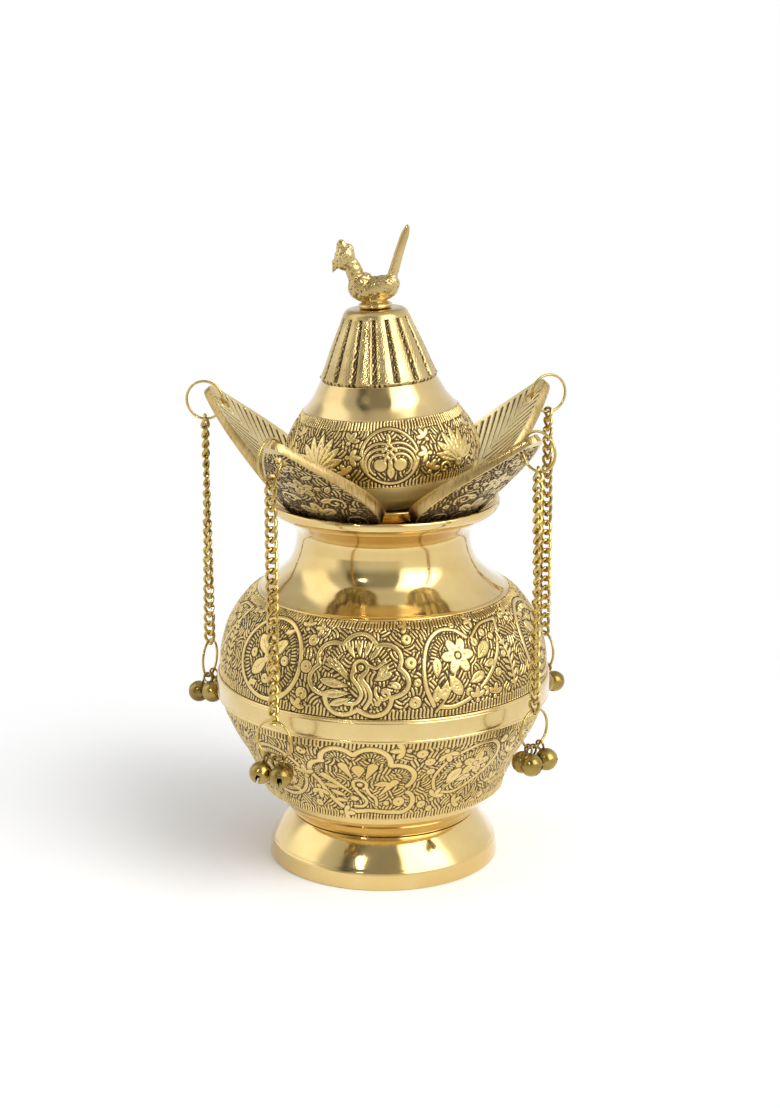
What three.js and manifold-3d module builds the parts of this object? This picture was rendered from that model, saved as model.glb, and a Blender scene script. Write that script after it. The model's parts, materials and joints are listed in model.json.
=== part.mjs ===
// A brass kalash: a turned and engraved water pot, and a lid of five cast
// leaves round a hollow coconut, with a bird finial and a chain of small bells
// hanging from each leaf tip. Millimetres, +Z up. The origin is the centre of
// the foot's underside, and the front of the pot faces -Y.

import * as THREE from "three";
import { mergeVertices } from "three/addons/utils/BufferGeometryUtils.js";
import Module from "manifold-3d";

const wasm = await Module();
wasm.setup();

// Clearances
const seam = 0.2; // between pieces that are brazed or screwed face to face
const fit = 0.3; // between loose pieces that touch
const boltPlay = 0.3; // round the bolt in each of its holes

// Pot
const potWall = 2.2;
const footRadius = 43.6;
const footBeltHeight = 6.5;
const footNeckRadius = 34.6;
const footHeight = 17.4;
const footFlange = 8.5; // how far the foot's top flange reaches in under the bowl
const lowerBowlHeight = 46.1;
const bellyRadius = 62.6;
const bandHeight = 9.1;
const bandProud = 0.9; // how far the belly band stands out of the bowls
const bandOverlap = 2.6; // radial depth of the band's seat
const shoulderRise = 31.4;
const shoulderRadius = 47.2;
const neckRise = 19;
const throatRadius = 32.3;
const flareRise = 15.6;
const rimRadius = 43.4;
const rimLip = 1.6; // flat top of the rim

// Leaves
const leafAzimuths = [-31.7, 47.2, 115.9, 184, 252.2]; // degrees from the front, to the right
const leafTilts = [43.6, 43.4, 49.6, 47.5, 48.6]; // degrees above level
const bellRoom = 7; // from the belly out to the tips of the leaves, which keeps the bells clear of it
const footInset = 4.7; // from the throat in to the feet of the leaves
const leafReachRatio = 1.5; // length of a leaf to how far out it reaches
const leafLength = (bellyRadius + bellRoom - throatRadius + footInset) * leafReachRatio;
const leafGap = 1.6; // between the closest two leaves
const leafBaseThick = 5.2;
const leafTipThick = 2.8;
const leafTipWidth = 4.4;
const leafTabWidth = 15; // the narrow foot of a leaf that is brazed to the cup
const leafWidestAt = 16; // distance from the foot of a leaf to its widest place
const leafCupping = 52; // radius of the hollow across a leaf
const leafFootRise = 4; // how far above the throat the foot of a leaf lies
const tipHole = 4.6; // diameter of the ring's hole
const veinPitch = 5; // between two veins of the hollow face, along the leaf
const veinSlant = 1.75; // run along the leaf for each step across it
const veinDepth = 0.45; // of the grooves between the veins
const veinSunk = 0.05; // how far the veins lie below the border
const veinFoot = 10; // plain part at the foot of a leaf
const leafBorder = 2.6; // plain border round the veins
const ribHalf = 0.5; // half of the plain midrib's width

// Leaf cup, coconut, bolt and finial
const cupWall = 2;
const cupDepth = 10; // from the leaves' feet down to the underside of the cup
const cupConeRise = 9; // how far up the leaves the cup's cone reaches
const coconutWall = 2;
const coconutRadius = 35.9;
const coconutLift = 8; // from the leaves' feet up to the coconut's flat bottom
const coconutLean = 2.7; // degrees to the left of upright, about the middle of its widest seam
const undersideRise = 15;
const engravedRise = 22.6;
const engravedTopRadius = 28.4;
const polishedRise = 11;
const polishedTopRadius = 21;
const crownRise = 25;
const crownTopRadius = 10.6;
const crownStep = 0.7; // the crown's edge stands proud of the polished band
const flutes = 16;
const fluteDepth = 0.8;
const boltRadius = 2.4;
const boltHeadRadius = 7;
const boltHeadHeight = 3.4;
const boltReach = 5.4; // thread in the finial
const collarRadius = 6.1;
const collarHeight = 2.6;
const birdHeight = 27.6; // from the collar to the tip of the tail

// Chains, rings and bells
const ringRadius = 7.2; // to the middle of the wire
const ringWire = 1;
const ringAngle = 34; // how far the wire leans from the hole's axis
const chainWire = 1.25;
const linkLength = 6;
const linkWidth = 4.5;
const linkPitch = 3.7;
const chainLength = 88.8;
const bellRadius = 4.1;
const bellWall = 0.55;
const bellSlit = 1.1;
const eyeWire = 0.8;
const eyeRadius = 1.9; // to the middle of the eye's wire
const lowEyeStretch = 1.55; // the lowest bell's eye is this much longer
const lowBellSides = [-1, -1, 1, 1, 1]; // the lowest bell hangs inside its ring, or outside it
const eyeAngle = 26; // where a front bell hooks on, from the bottom of its ring
const peaRadius = 1.5;

// Facets
const potSides = 34;
const coconutSides = 26;

const degrees = Math.PI / 180;
const brass = { color: 0xd3b26a, metalness: 1, roughness: 0.22 };
const agedBrass = { color: 0xb9995a, metalness: 1, roughness: 0.42 };
const chainBrass = { color: 0xc9a23f, metalness: 1, roughness: 0.3 };
const steel = { color: 0x9a9a96, metalness: 1, roughness: 0.35 };

const group = new THREE.Group();

// Adds one named piece to the model.
function addPiece(name, geometry, finish) {
  const material = new THREE.MeshStandardMaterial(finish);
  const mesh = new THREE.Mesh(geometry, material);
  mesh.name = name;
  group.add(mesh);
}

// A value part of the way from a to b.
function between(a, b, share) {
  return a + (b - a) * share;
}

// A smooth curve through [radius, height] pairs, as points.
function smooth(pairs, steps) {
  const through = pairs.map(([radius, height]) => new THREE.Vector2(radius, height));
  return new THREE.SplineCurve(through).getPoints(steps);
}

// The points of a profile moved sideways off it by a distance, to its left when
// the distance is positive.
function offsetCurve(points, distance) {
  return points.map((point, i) => {
    const before = points[Math.max(i - 1, 0)];
    const after = points[Math.min(i + 1, points.length - 1)];
    const along = after.clone().sub(before).normalize();
    return new THREE.Vector2(point.x - along.y * distance, point.y + along.x * distance);
  });
}

// The height of a curve at a radius, where its radius grows along it.
function heightAt(curve, radius) {
  const next = curve.findIndex((point) => point.x >= radius);
  const [low, high] = [curve[next - 1], curve[next]];
  return between(low.y, high.y, (radius - low.x) / (high.x - low.x));
}

// Turns a closed profile of [radius, height] points about the Z axis.
function turned(points, sides) {
  const loop = points.map((point) => (Array.isArray(point) ? new THREE.Vector2(...point) : point));
  loop.push(loop[0].clone());
  return new THREE.LatheGeometry(loop, sides).rotateX(Math.PI / 2);
}

// Turns a geometry into a solid for cutting and joining.
function toSolid(geometry) {
  const bare = geometry.clone();
  bare.deleteAttribute("normal");
  bare.deleteAttribute("uv");
  const merged = mergeVertices(bare, 1e-4);
  const corners = merged.index.array;
  const kept = [];
  for (let i = 0; i < corners.length; i += 3) {
    const [a, b, c] = [corners[i], corners[i + 1], corners[i + 2]];
    if (a !== b && b !== c && c !== a) {
      kept.push(a, b, c);
    }
  }
  return new wasm.Manifold(new wasm.Mesh({
    numProp: 3,
    vertProperties: new Float32Array(merged.attributes.position.array),
    triVerts: new Uint32Array(kept),
  }));
}

// Turns a solid back into a geometry.
function toGeometry(solid) {
  const mesh = solid.getMesh();
  const geometry = new THREE.BufferGeometry();
  geometry.setAttribute("position", new THREE.BufferAttribute(mesh.vertProperties, 3));
  geometry.setIndex(new THREE.BufferAttribute(mesh.triVerts, 1));
  return geometry;
}

// A closed grid of points: rows of equal length, each a loop, joined row to row
// and closed by a fan at both ends, or end to end where the rows form a ring.
function loftLoops(rows, ring = false) {
  const sides = rows[0].length;
  const points = rows.flat();
  const faces = [];
  const spans = ring ? rows.length : rows.length - 1;
  for (let i = 0; i < spans; i += 1) {
    const next = (i + 1) % rows.length;
    for (let j = 0; j < sides; j += 1) {
      const k = (j + 1) % sides;
      const [a, b] = [i * sides + j, i * sides + k];
      const [c, d] = [next * sides + j, next * sides + k];
      faces.push(a, b, d, a, d, c);
    }
  }
  if (!ring) {
    const last = (rows.length - 1) * sides;
    for (let j = 1; j < sides - 1; j += 1) {
      faces.push(0, j + 1, j);
      faces.push(last, last + j, last + j + 1);
    }
  }
  const geometry = new THREE.BufferGeometry();
  geometry.setAttribute("position", new THREE.Float32BufferAttribute(points.flatMap((p) => p.toArray()), 3));
  geometry.setIndex(faces);
  return geometry;
}

// Heights of the pot, each from the one below it
const bowlBottom = footHeight + seam;
const bandBottom = bowlBottom + lowerBowlHeight;
const bandTop = bandBottom + bandHeight;
const upperBottom = bandTop + seam;
const shoulderZ = upperBottom + shoulderRise;
const throatZ = shoulderZ + neckRise;
const rimZ = throatZ + flareRise;
const bowlRadius = bellyRadius - bandProud;

// Foot: a plain belt, a concave flank and a flange under the bowl.
const footOuter = [
  new THREE.Vector2(footRadius, 0),
  new THREE.Vector2(footRadius - 1, footBeltHeight),
  ...smooth([
    [footRadius - 1.5, footBeltHeight + 0.9],
    [between(footNeckRadius, footRadius, 0.53), between(footBeltHeight, footHeight, 0.47)],
    [between(footNeckRadius, footRadius, 0.2), between(footBeltHeight, footHeight, 0.82)],
    [footNeckRadius, footHeight],
  ], 4),
];
const footInner = offsetCurve(footOuter, potWall)
  .filter((point) => point.y < footHeight - potWall - 0.5);
footInner[0].y = 0;
const footProfile = [
  ...footOuter,
  [footNeckRadius - footFlange, footHeight],
  [footNeckRadius - footFlange, footHeight - potWall],
  [footNeckRadius - potWall, footHeight - potWall],
  ...footInner.reverse(),
];
addPiece("foot", turned(footProfile, potSides), brass);

// Lower bowl: an undercut collar, a bead and the engraved round of the belly.
const beadRadius = between(footNeckRadius, bowlRadius, 0.41);
const beadZ = between(bowlBottom, bandBottom, 0.3);
const lowerOuter = [
  new THREE.Vector2(footNeckRadius, bowlBottom),
  new THREE.Vector2(between(footNeckRadius, beadRadius, 0.4), between(bowlBottom, beadZ, 0.45)),
  ...smooth([
    [beadRadius, beadZ],
    [between(beadRadius, bowlRadius, 0.36), between(beadZ, bandBottom, 0.35)],
    [between(beadRadius, bowlRadius, 0.68), between(beadZ, bandBottom, 0.63)],
    [between(beadRadius, bowlRadius, 0.9), between(beadZ, bandBottom, 0.87)],
    [bowlRadius - 0.7, bandBottom - seam],
  ], 6),
];
const lowerInner = offsetCurve(lowerOuter, potWall);
lowerInner[0] = new THREE.Vector2(footNeckRadius - potWall, bowlBottom + potWall);
lowerInner.at(-1).y = bandBottom - seam;
const lowerProfile = [
  [0, bowlBottom],
  ...lowerOuter,
  ...lowerInner.reverse(),
  [0, bowlBottom + potWall],
];
addPiece("lower_bowl", turned(lowerProfile, potSides), agedBrass);

// Belly band: a plain turned hoop between the two bowls.
const bandProfile = [
  [bellyRadius - bandOverlap - bandProud, bandBottom],
  [bellyRadius - 0.5, bandBottom],
  [bellyRadius, bandBottom + 1],
  [bellyRadius, bandTop - 1],
  [bellyRadius - 0.5, bandTop],
  [bellyRadius - bandOverlap - bandProud, bandTop],
];
addPiece("belly_band", turned(bandProfile, potSides), brass);

// Upper bowl: the engraved shoulder, a bead, the concave neck and the rim.
const upperOuter = [
  ...smooth([
    [bowlRadius, upperBottom],
    [between(shoulderRadius, bowlRadius, 0.95), between(upperBottom, shoulderZ, 0.29)],
    [between(shoulderRadius, bowlRadius, 0.74), between(upperBottom, shoulderZ, 0.61)],
    [between(shoulderRadius, bowlRadius, 0.31), between(upperBottom, shoulderZ, 0.9)],
    [shoulderRadius, shoulderZ],
  ], 6),
  ...smooth([
    [shoulderRadius - 1, shoulderZ + 0.6],
    [between(throatRadius, shoulderRadius, 0.52), between(shoulderZ, throatZ, 0.27)],
    [between(throatRadius, shoulderRadius, 0.16), between(shoulderZ, throatZ, 0.58)],
    [throatRadius, throatZ],
    [between(throatRadius, rimRadius, 0.14), between(throatZ, rimZ, 0.39)],
    [between(throatRadius, rimRadius, 0.86), between(throatZ, rimZ, 0.74)],
    [rimRadius, rimZ - 1.2],
  ], 10),
];
const upperInner = offsetCurve(upperOuter, potWall);
upperInner[0].y = upperBottom;
upperInner.pop();
const upperProfile = [
  ...upperOuter,
  [rimRadius - 0.5, rimZ],
  [rimRadius - 0.5 - rimLip, rimZ],
  ...upperInner.slice().reverse(),
];
addPiece("upper_bowl", turned(upperProfile, potSides), agedBrass);

// The radius of the pot's inside at a height, in the neck and the rim.
function mouthRadius(height) {
  const above = upperInner.findIndex((point) => point.y >= height);
  if (above < 1) {
    return rimRadius - 0.5 - rimLip;
  }
  const [low, high] = [upperInner[above - 1], upperInner[above]];
  return between(low.x, high.x, (height - low.y) / (high.y - low.y));
}

// Leaves. In a leaf's own frame s runs up its middle from its foot, v runs
// across it, and depth is 0 on its back and its thickness on its hollow face.
const leafFootZ = throatZ + leafFootRise;
const closestHalf = Math.min(...leafAzimuths.map((azimuth, i) => {
  const next = leafAzimuths[(i + 1) % leafAzimuths.length];
  return ((next - azimuth + 360) % 360) / 2;
})) * degrees;

// Half of a leaf's width at s.
function leafHalfWidth(s, widest) {
  if (s < leafWidestAt) {
    return between(leafTabWidth / 2, widest, Math.sin((s / leafWidestAt) * Math.PI / 2));
  }
  const share = (s - leafWidestAt) / (leafLength - leafWidestAt);
  return widest * (1 - share ** 1.62) + leafTipWidth / 2 * share;
}

function leafThickness(s) {
  return between(leafBaseThick, leafTipThick, s / leafLength);
}

function leafPoint(s, v, depth, tilt, footAt) {
  const lift = depth + v * v / (2 * leafCupping);
  const [run, rise] = [Math.cos(tilt), Math.sin(tilt)];
  return new THREE.Vector3(v, -(footAt + s * run - lift * rise), leafFootZ + s * rise + lift * run);
}

// Slides a leaf in or out until its back clears the mouth by the fit.
function seatLeaf(tilt, widest) {
  let footAt = throatRadius;
  for (let pass = 0; pass < 12; pass += 1) {
    let least = Infinity;
    for (let s = 0; s < leafLength / 2; s += 0.5) {
      for (const share of [0, 0.5, 1]) {
        const point = leafPoint(s, share * leafHalfWidth(s, widest), 0, tilt, footAt);
        if (point.z < rimZ) {
          least = Math.min(least, mouthRadius(point.z) - Math.hypot(point.x, point.y));
        }
      }
    }
    footAt += least - fit;
  }
  return footAt;
}

// Half of the width at which the closest two leaves keep their gap, which is
// least at the edges of their hollow faces.
function widestHalf(tilt) {
  let half = leafTabWidth;
  for (let pass = 0; pass < 12; pass += 1) {
    const edge = leafPoint(leafWidestAt, half, leafThickness(leafWidestAt), tilt, seatLeaf(tilt, half));
    half = -edge.y * Math.tan(closestHalf) - leafGap / 2 / Math.cos(closestHalf);
  }
  return half;
}

const tilts = leafTilts.map((tilt) => tilt * degrees);
const leafWidest = Math.min(...tilts.map(widestHalf));
const leafFeet = tilts.map((tilt) => seatLeaf(tilt, leafWidest));

// The tip ring: it passes through its hole and round the leaf's tip. Its middle
// lies below the leaf's own middle plane and a little short of the tip.
const ringBelow = ringRadius * Math.sin(ringAngle * degrees);
const tipReach = ringRadius - ringWire / 2 - 2 * fit;
const ringShort = Math.sqrt(tipReach ** 2 - (ringBelow + leafTipThick / 2) ** 2);
const holeShort = ringShort + ringRadius * Math.cos(ringAngle * degrees);

// How far a leaf's flat facets bend up from its middle plane at v, in the mesh below.
function facetLift(s, v) {
  const bend = leafHalfWidth(s, leafWidest) / 2;
  const [inner, outer] = [bend ** 2 / (2 * leafCupping), (2 * bend) ** 2 / (2 * leafCupping)];
  return v < bend ? inner * v / bend : between(inner, outer, v / bend - 1);
}

// The distance from the midrib, between two bounds, where a falling measure is zero.
function crossing(measure, low, high) {
  let [inside, outside] = [low, high];
  for (let pass = 0; pass < 30; pass += 1) {
    const middle = (inside + outside) / 2;
    [inside, outside] = measure(middle) > 0 ? [middle, outside] : [inside, middle];
  }
  return inside;
}

// What is cut from the hollow face on one side of the midrib: a zigzag of grooves
// that slant forward to the border. Each row is the line of one vein or groove.
function veinCutter(side, tilt, footAt) {
  const rows = [];
  const tipEnd = leafLength - holeShort - tipHole;
  const count = 2 * Math.ceil((leafLength + veinSlant * leafWidest) / veinPitch);
  for (let i = 0; i < count; i += 1) {
    const start = i * veinPitch / 2 - veinSlant * leafWidest;
    const along = (v) => start + veinSlant * v;
    const near = Math.max(ribHalf, (veinFoot - start) / veinSlant);
    const widest = Math.min(leafWidest, (tipEnd - start) / veinSlant);
    const far = crossing((v) => leafHalfWidth(along(v), leafWidest) - leafBorder - v, near, widest);
    if (far - near < 2 * ribHalf) {
      continue;
    }
    const bend = crossing((v) => leafHalfWidth(along(v), leafWidest) / 2 - v, near, far);
    const middle = far - bend < ribHalf || bend - near < ribHalf ? (near + far) / 2 : bend;
    const below = i % 2 === 0 ? veinDepth : veinSunk;
    const place = (v, depth) => {
      const lift = facetLift(along(v), v) - v * v / (2 * leafCupping);
      return leafPoint(along(v), side * v, depth + lift, tilt, footAt);
    };
    const floor = [near, middle, far].map((v) => place(v, leafThickness(along(v)) - below));
    const top = [far, middle, near].map((v) => place(v, leafThickness(along(v)) + leafBaseThick));
    rows.push([...floor, ...top]);
  }
  return toSolid(loftLoops(side < 0 ? rows.reverse() : rows));
}

function leafGeometry(tilt, footAt) {
  const rows = [];
  const steps = 9;
  const across = 4;
  for (let i = 0; i <= steps; i += 1) {
    const s = i < 3 ? leafWidestAt * i / 3 : between(leafWidestAt, leafLength, (i - 3) / (steps - 3));
    const half = leafHalfWidth(s, leafWidest);
    const back = [];
    const hollow = [];
    for (let j = 0; j <= across; j += 1) {
      const v = between(-half, half, j / across);
      back.push(leafPoint(s, v, 0, tilt, footAt));
      hollow.push(leafPoint(s, v, leafThickness(s), tilt, footAt));
    }
    rows.push([...back, ...hollow.reverse()]);
  }
  const holeAt = leafPoint(leafLength - holeShort, 0, leafTipThick / 2, tilt, footAt);
  const punch = new THREE.CylinderGeometry(tipHole / 2, tipHole / 2, 4 * leafBaseThick, 10)
    .rotateX(Math.PI / 2 - tilt)
    .translate(holeAt.x, holeAt.y, holeAt.z);
  const leaf = toSolid(loftLoops(rows))
    .subtract(toSolid(punch))
    .subtract(veinCutter(-1, tilt, footAt))
    .subtract(veinCutter(1, tilt, footAt));
  return toGeometry(leaf);
}

// Leaf cup: a turned cup inside the ring of leaves' feet, which are brazed to it.
function cupRadius(height) {
  return Math.min(...tilts.map((tilt, i) => {
    const s = (height - leafFootZ - leafBaseThick * Math.cos(tilt)) / Math.sin(tilt);
    return leafFeet[i] + s * Math.cos(tilt) - leafBaseThick * Math.sin(tilt);
  })) - fit;
}

const cupBottom = leafFootZ - cupDepth;
const coneBottom = leafFootZ - 0.6 * cupDepth;
const coneTop = leafFootZ + cupConeRise;
const lipRadius = cupRadius(coneTop);
const boltHole = boltRadius + boltPlay;
const lean = coconutLean * degrees;

// Coconut: a turned underside, an engraved round with a polished band above it,
// and a fluted crown. It leans in its cup, with the bolt and the finial.
const undersideZ = leafFootZ + coconutLift;
const engravedZ = undersideZ + undersideRise;
const polishedZ = engravedZ + engravedRise;
const crownZ = polishedZ + polishedRise + seam;
const crownTop = crownZ + crownRise;
const equator = coconutRadius - 1;
const leanSide = (engravedZ - cupBottom) * Math.sin(lean);

function leaned(geometry) {
  return geometry.translate(0, 0, -engravedZ).rotateY(-lean).translate(0, 0, engravedZ);
}

const underside = [
  new THREE.Vector2(9, undersideZ),
  ...smooth([
    [10, undersideZ + 0.15],
    [between(10, equator, 0.42), between(undersideZ, engravedZ, 0.19)],
    [between(10, equator, 0.74), between(undersideZ, engravedZ, 0.5)],
    [between(10, equator, 0.93), between(undersideZ, engravedZ, 0.81)],
    [equator, engravedZ - seam],
  ], 5),
];
const undersideInner = offsetCurve(underside, coconutWall);
undersideInner[0].x = 9;
undersideInner.at(-1).y = engravedZ - seam;
const lowerShell = [
  [boltHole, undersideZ],
  ...underside,
  ...undersideInner.reverse(),
  [boltHole, undersideZ + coconutWall],
];
const bodyOuter = [
  ...smooth([
    [equator, engravedZ],
    [coconutRadius, between(engravedZ, polishedZ, 0.27)],
    [coconutRadius - 0.8, between(engravedZ, polishedZ, 0.5)],
    [between(engravedTopRadius, coconutRadius, 0.56), between(engravedZ, polishedZ, 0.73)],
    [engravedTopRadius, polishedZ],
  ], 6),
  ...smooth([
    [engravedTopRadius - 0.6, polishedZ + 0.5],
    [between(polishedTopRadius, engravedTopRadius, 0.52), between(polishedZ, crownZ, 0.37)],
    [between(polishedTopRadius, engravedTopRadius, 0.24), between(polishedZ, crownZ, 0.7)],
    [polishedTopRadius, crownZ - seam],
  ], 3),
];
const bodyInner = offsetCurve(bodyOuter, coconutWall);
bodyInner[0].y = engravedZ;
bodyInner.at(-1).y = crownZ - seam;

const lipZ = heightAt(underside, lipRadius - cupWall) - fit - lipRadius * Math.sin(lean) - leanSide / 2;
const cupOuter = [
  [cupRadius(coneBottom) - 2.5, cupBottom],
  [cupRadius(coneBottom), coneBottom],
  [cupRadius(between(coneBottom, coneTop, 0.5)), between(coneBottom, coneTop, 0.5)],
  [lipRadius, coneTop],
  [lipRadius, lipZ],
];
const cupInner = [
  [lipRadius - cupWall, lipZ],
  [lipRadius - cupWall, coneTop + 0.8],
  [cupRadius(coneBottom) - cupWall, coneBottom + 0.8],
  [cupRadius(coneBottom) - cupWall - 2, cupBottom + cupWall],
];
const cupProfile = [
  [boltHole + leanSide, cupBottom],
  ...cupOuter,
  ...cupInner,
  [boltHole + leanSide, cupBottom + cupWall],
];
addPiece("leaf_cup", turned(cupProfile, coconutSides), brass);
addPiece("coconut_lower", leaned(turned(lowerShell, coconutSides)), brass);
addPiece("coconut_body", leaned(turned([...bodyOuter, ...bodyInner.reverse()], coconutSides)), agedBrass);

// Fluted crown: each flute is a wide flat rib and a narrow groove.
const crownOuter = [
  [polishedTopRadius + crownStep, crownZ],
  [polishedTopRadius + crownStep - 0.8, crownZ + 0.7],
  [between(crownTopRadius, polishedTopRadius, 0.78), crownZ + 0.14 * crownRise],
  [between(crownTopRadius, polishedTopRadius, 0.4), crownZ + 0.6 * crownRise],
  [crownTopRadius, crownTop - 1.4],
  [crownTopRadius - 2.2, crownTop],
];

function crownRow([radius, height], depth) {
  const row = [];
  for (let i = 0; i < flutes; i += 1) {
    for (const [turn, cut] of [[-0.36, 0], [0.36, 0], [0.44, depth], [0.56, depth]]) {
      const angle = ((i + turn) / flutes) * 2 * Math.PI;
      const out = radius - cut;
      row.push(new THREE.Vector3(out * Math.cos(angle), out * Math.sin(angle), height));
    }
  }
  return row;
}

const crownRows = crownOuter.map((point, i) => {
  const grooved = i > 1 && i < crownOuter.length - 1;
  return crownRow(point, grooved ? fluteDepth : 0.02);
});
const crownHollow = turned([
  [0, crownZ - 1],
  [polishedTopRadius - coconutWall, crownZ - 1],
  [polishedTopRadius - coconutWall, crownZ],
  [crownTopRadius - coconutWall - fluteDepth, crownTop - coconutWall - 2],
  [0, crownTop - coconutWall - 2],
], 20);
const boltPassage = turned([
  [0, cupBottom],
  [boltHole, cupBottom],
  [boltHole, crownTop + 1],
  [0, crownTop + 1],
], 12);
const crownSolid = toSolid(loftLoops(crownRows))
  .subtract(toSolid(crownHollow))
  .subtract(toSolid(boltPassage));
addPiece("coconut_crown", leaned(toGeometry(crownSolid)), brass);

// Finial: a bird on a round collar, screwed down on the bolt. The bird faces -X.
const collarZ = crownTop + seam;
const birdZ = collarZ + collarHeight;
const birdScale = birdHeight / 27.6;

// An egg shape of the bird: its middle, its three radii and its pitch.
function egg([x, z], [length, width, height], pitch) {
  return toSolid(new THREE.SphereGeometry(1, 8, 6)
    .rotateX(Math.PI / 2)
    .scale(length, width, height)
    .rotateY(pitch * degrees)
    .translate(x, 0, z));
}

const tailOutline = new THREE.Shape([
  [2.5, 8.5], [7.8, 8.6], [9.6, 16.4], [12.1, 26.4], [11.3, 27.6], [8.6, 24.6], [6.4, 18.2], [4.6, 12.2],
].map((corner) => new THREE.Vector2(...corner)));
const tail = new THREE.ExtrudeGeometry(tailOutline, { depth: 3, bevelEnabled: false })
  .translate(0, 0, -1.5)
  .rotateX(Math.PI / 2);
const beak = new THREE.ConeGeometry(1.5, 6.5, 6)
  .rotateZ(154 * degrees)
  .rotateX(Math.PI / 2)
  .translate(-13.2, 0, 14.2);
const birdBody = egg([-0.6, 5.8], [8.2, 4.4, 5.2], -8)
  .add(egg([-5, 8.2], [4.7, 3.9, 5.2], 25))
  .add(egg([-8.3, 14.2], [2.9, 2.7, 5.4], -30))
  .add(egg([-10.6, 18.2], [3.7, 2.9, 3.4], 25))
  .add(egg([-11, 21.8], [1.3, 1.1, 1.5], 0))
  .add(toSolid(beak))
  .add(toSolid(tail));
const collar = turned([
  [0, collarZ],
  [collarRadius, collarZ],
  [collarRadius, birdZ - 0.6],
  [collarRadius - 1, birdZ],
  [4, birdZ + 1.2],
  [0, birdZ + 1.2],
], 20);
const finialSocket = turned([
  [0, collarZ - 1],
  [boltHole, collarZ - 1],
  [boltHole, collarZ + boltReach + fit],
  [0, collarZ + boltReach + fit],
], 12);
const finial = birdBody
  .scale([birdScale, birdScale, birdScale])
  .translate([0, 0, birdZ])
  .add(toSolid(collar))
  .subtract(toSolid(finialSocket));
addPiece("bird_finial", leaned(toGeometry(finial)), agedBrass);

// Bolt: its head is under the cup and its end is in the finial.
const headTop = cupBottom - seam - boltHeadRadius * Math.sin(lean) - leanSide * Math.tan(lean);
const boltProfile = [
  [0, headTop - boltHeadHeight],
  [boltHeadRadius, headTop - boltHeadHeight],
  [boltHeadRadius, headTop],
  [boltRadius, headTop],
  [boltRadius, collarZ + boltReach],
  [0, collarZ + boltReach],
];
addPiece("lid_bolt", leaned(turned(boltProfile, 12)), steel);

// One wire link: a flat-sided oval in the XZ plane, its section a triangle with
// one edge inwards, where its neighbours hook on.
function linkGeometry(width, length, wire) {
  const [a, b] = [width / 2 - wire / 2, length / 2 - wire / 2];
  const path = [[0, b], [-a, b / 2], [-a, -b / 2], [0, -b], [a, -b / 2], [a, b / 2]];
  const rows = path.map(([x, z]) => {
    const out = new THREE.Vector3(x, 0, z * a / b).normalize();
    return [180, 300, 60].map((turn) => {
      const [outward, aside] = [Math.cos(turn * degrees), Math.sin(turn * degrees)];
      return new THREE.Vector3(x, 0, z)
        .addScaledVector(out, 0.6 * wire * outward)
        .add(new THREE.Vector3(0, 0.6 * wire * aside, 0));
    });
  });
  return loftLoops(rows, true);
}

// A chain hanging down from the middle of its first link. Links alternate by a
// quarter turn, and there is an even number, so the last one lies front to back.
const linkCount = 2 * Math.round(chainLength / linkPitch / 2);

function chainGeometry() {
  const link = linkGeometry(linkWidth, linkLength, chainWire);
  let chain = null;
  for (let i = 0; i < linkCount; i += 1) {
    const placed = link.clone().rotateZ(i % 2 * Math.PI / 2).translate(0, 0, -i * linkPitch);
    chain = chain ? chain.add(toSolid(placed)) : toSolid(placed);
  }
  return toGeometry(chain);
}

// A round bell below the origin, where its eye hangs on a ring: a hollow ball
// with a slit across its bottom. Returns the height of the ball's middle too.
function bellShape(stretch) {
  const eyeTop = ringWire / 2 + eyeWire / 2 + fit;
  const eyeHeight = eyeRadius * stretch;
  const middle = eyeTop - 2 * eyeHeight - bellRadius + eyeWire / 2;
  const ball = new THREE.SphereGeometry(bellRadius, 8, 5)
    .rotateX(Math.PI / 2)
    .translate(0, 0, middle);
  const hollow = new THREE.SphereGeometry(bellRadius - bellWall, 6, 4)
    .rotateX(Math.PI / 2)
    .translate(0, 0, middle);
  const slit = new THREE.BoxGeometry(3 * bellRadius, bellSlit, bellRadius)
    .translate(0, 0, middle - 0.7 * bellRadius);
  const eye = linkGeometry(2 * eyeRadius + eyeWire, 2 * eyeHeight + eyeWire, eyeWire)
    .rotateZ(Math.PI / 2)
    .translate(0, 0, eyeTop - eyeHeight);
  const shell = toSolid(ball).subtract(toSolid(hollow)).subtract(toSolid(slit));
  return { geometry: toGeometry(shell.add(toSolid(eye))), middle };
}

// The bells spread from the bottom of their ring until they just clear each
// other. The lowest bell leans in or out, and the other two lean the other way
// by half as much, so that the three balance.
const bellSpread = bellRadius + fit / 2;
const bellLean = Math.sqrt((2 * bellRadius + fit) ** 2 - bellSpread ** 2) / 3;
const bellPlaces = [
  { side: "left", hook: -eyeAngle, aside: -bellSpread, out: -bellLean, stretch: 1 },
  { side: "right", hook: eyeAngle, aside: bellSpread, out: -bellLean, stretch: 1 },
  { side: "low", hook: 0, aside: 0, out: 2 * bellLean, stretch: lowEyeStretch },
];

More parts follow.
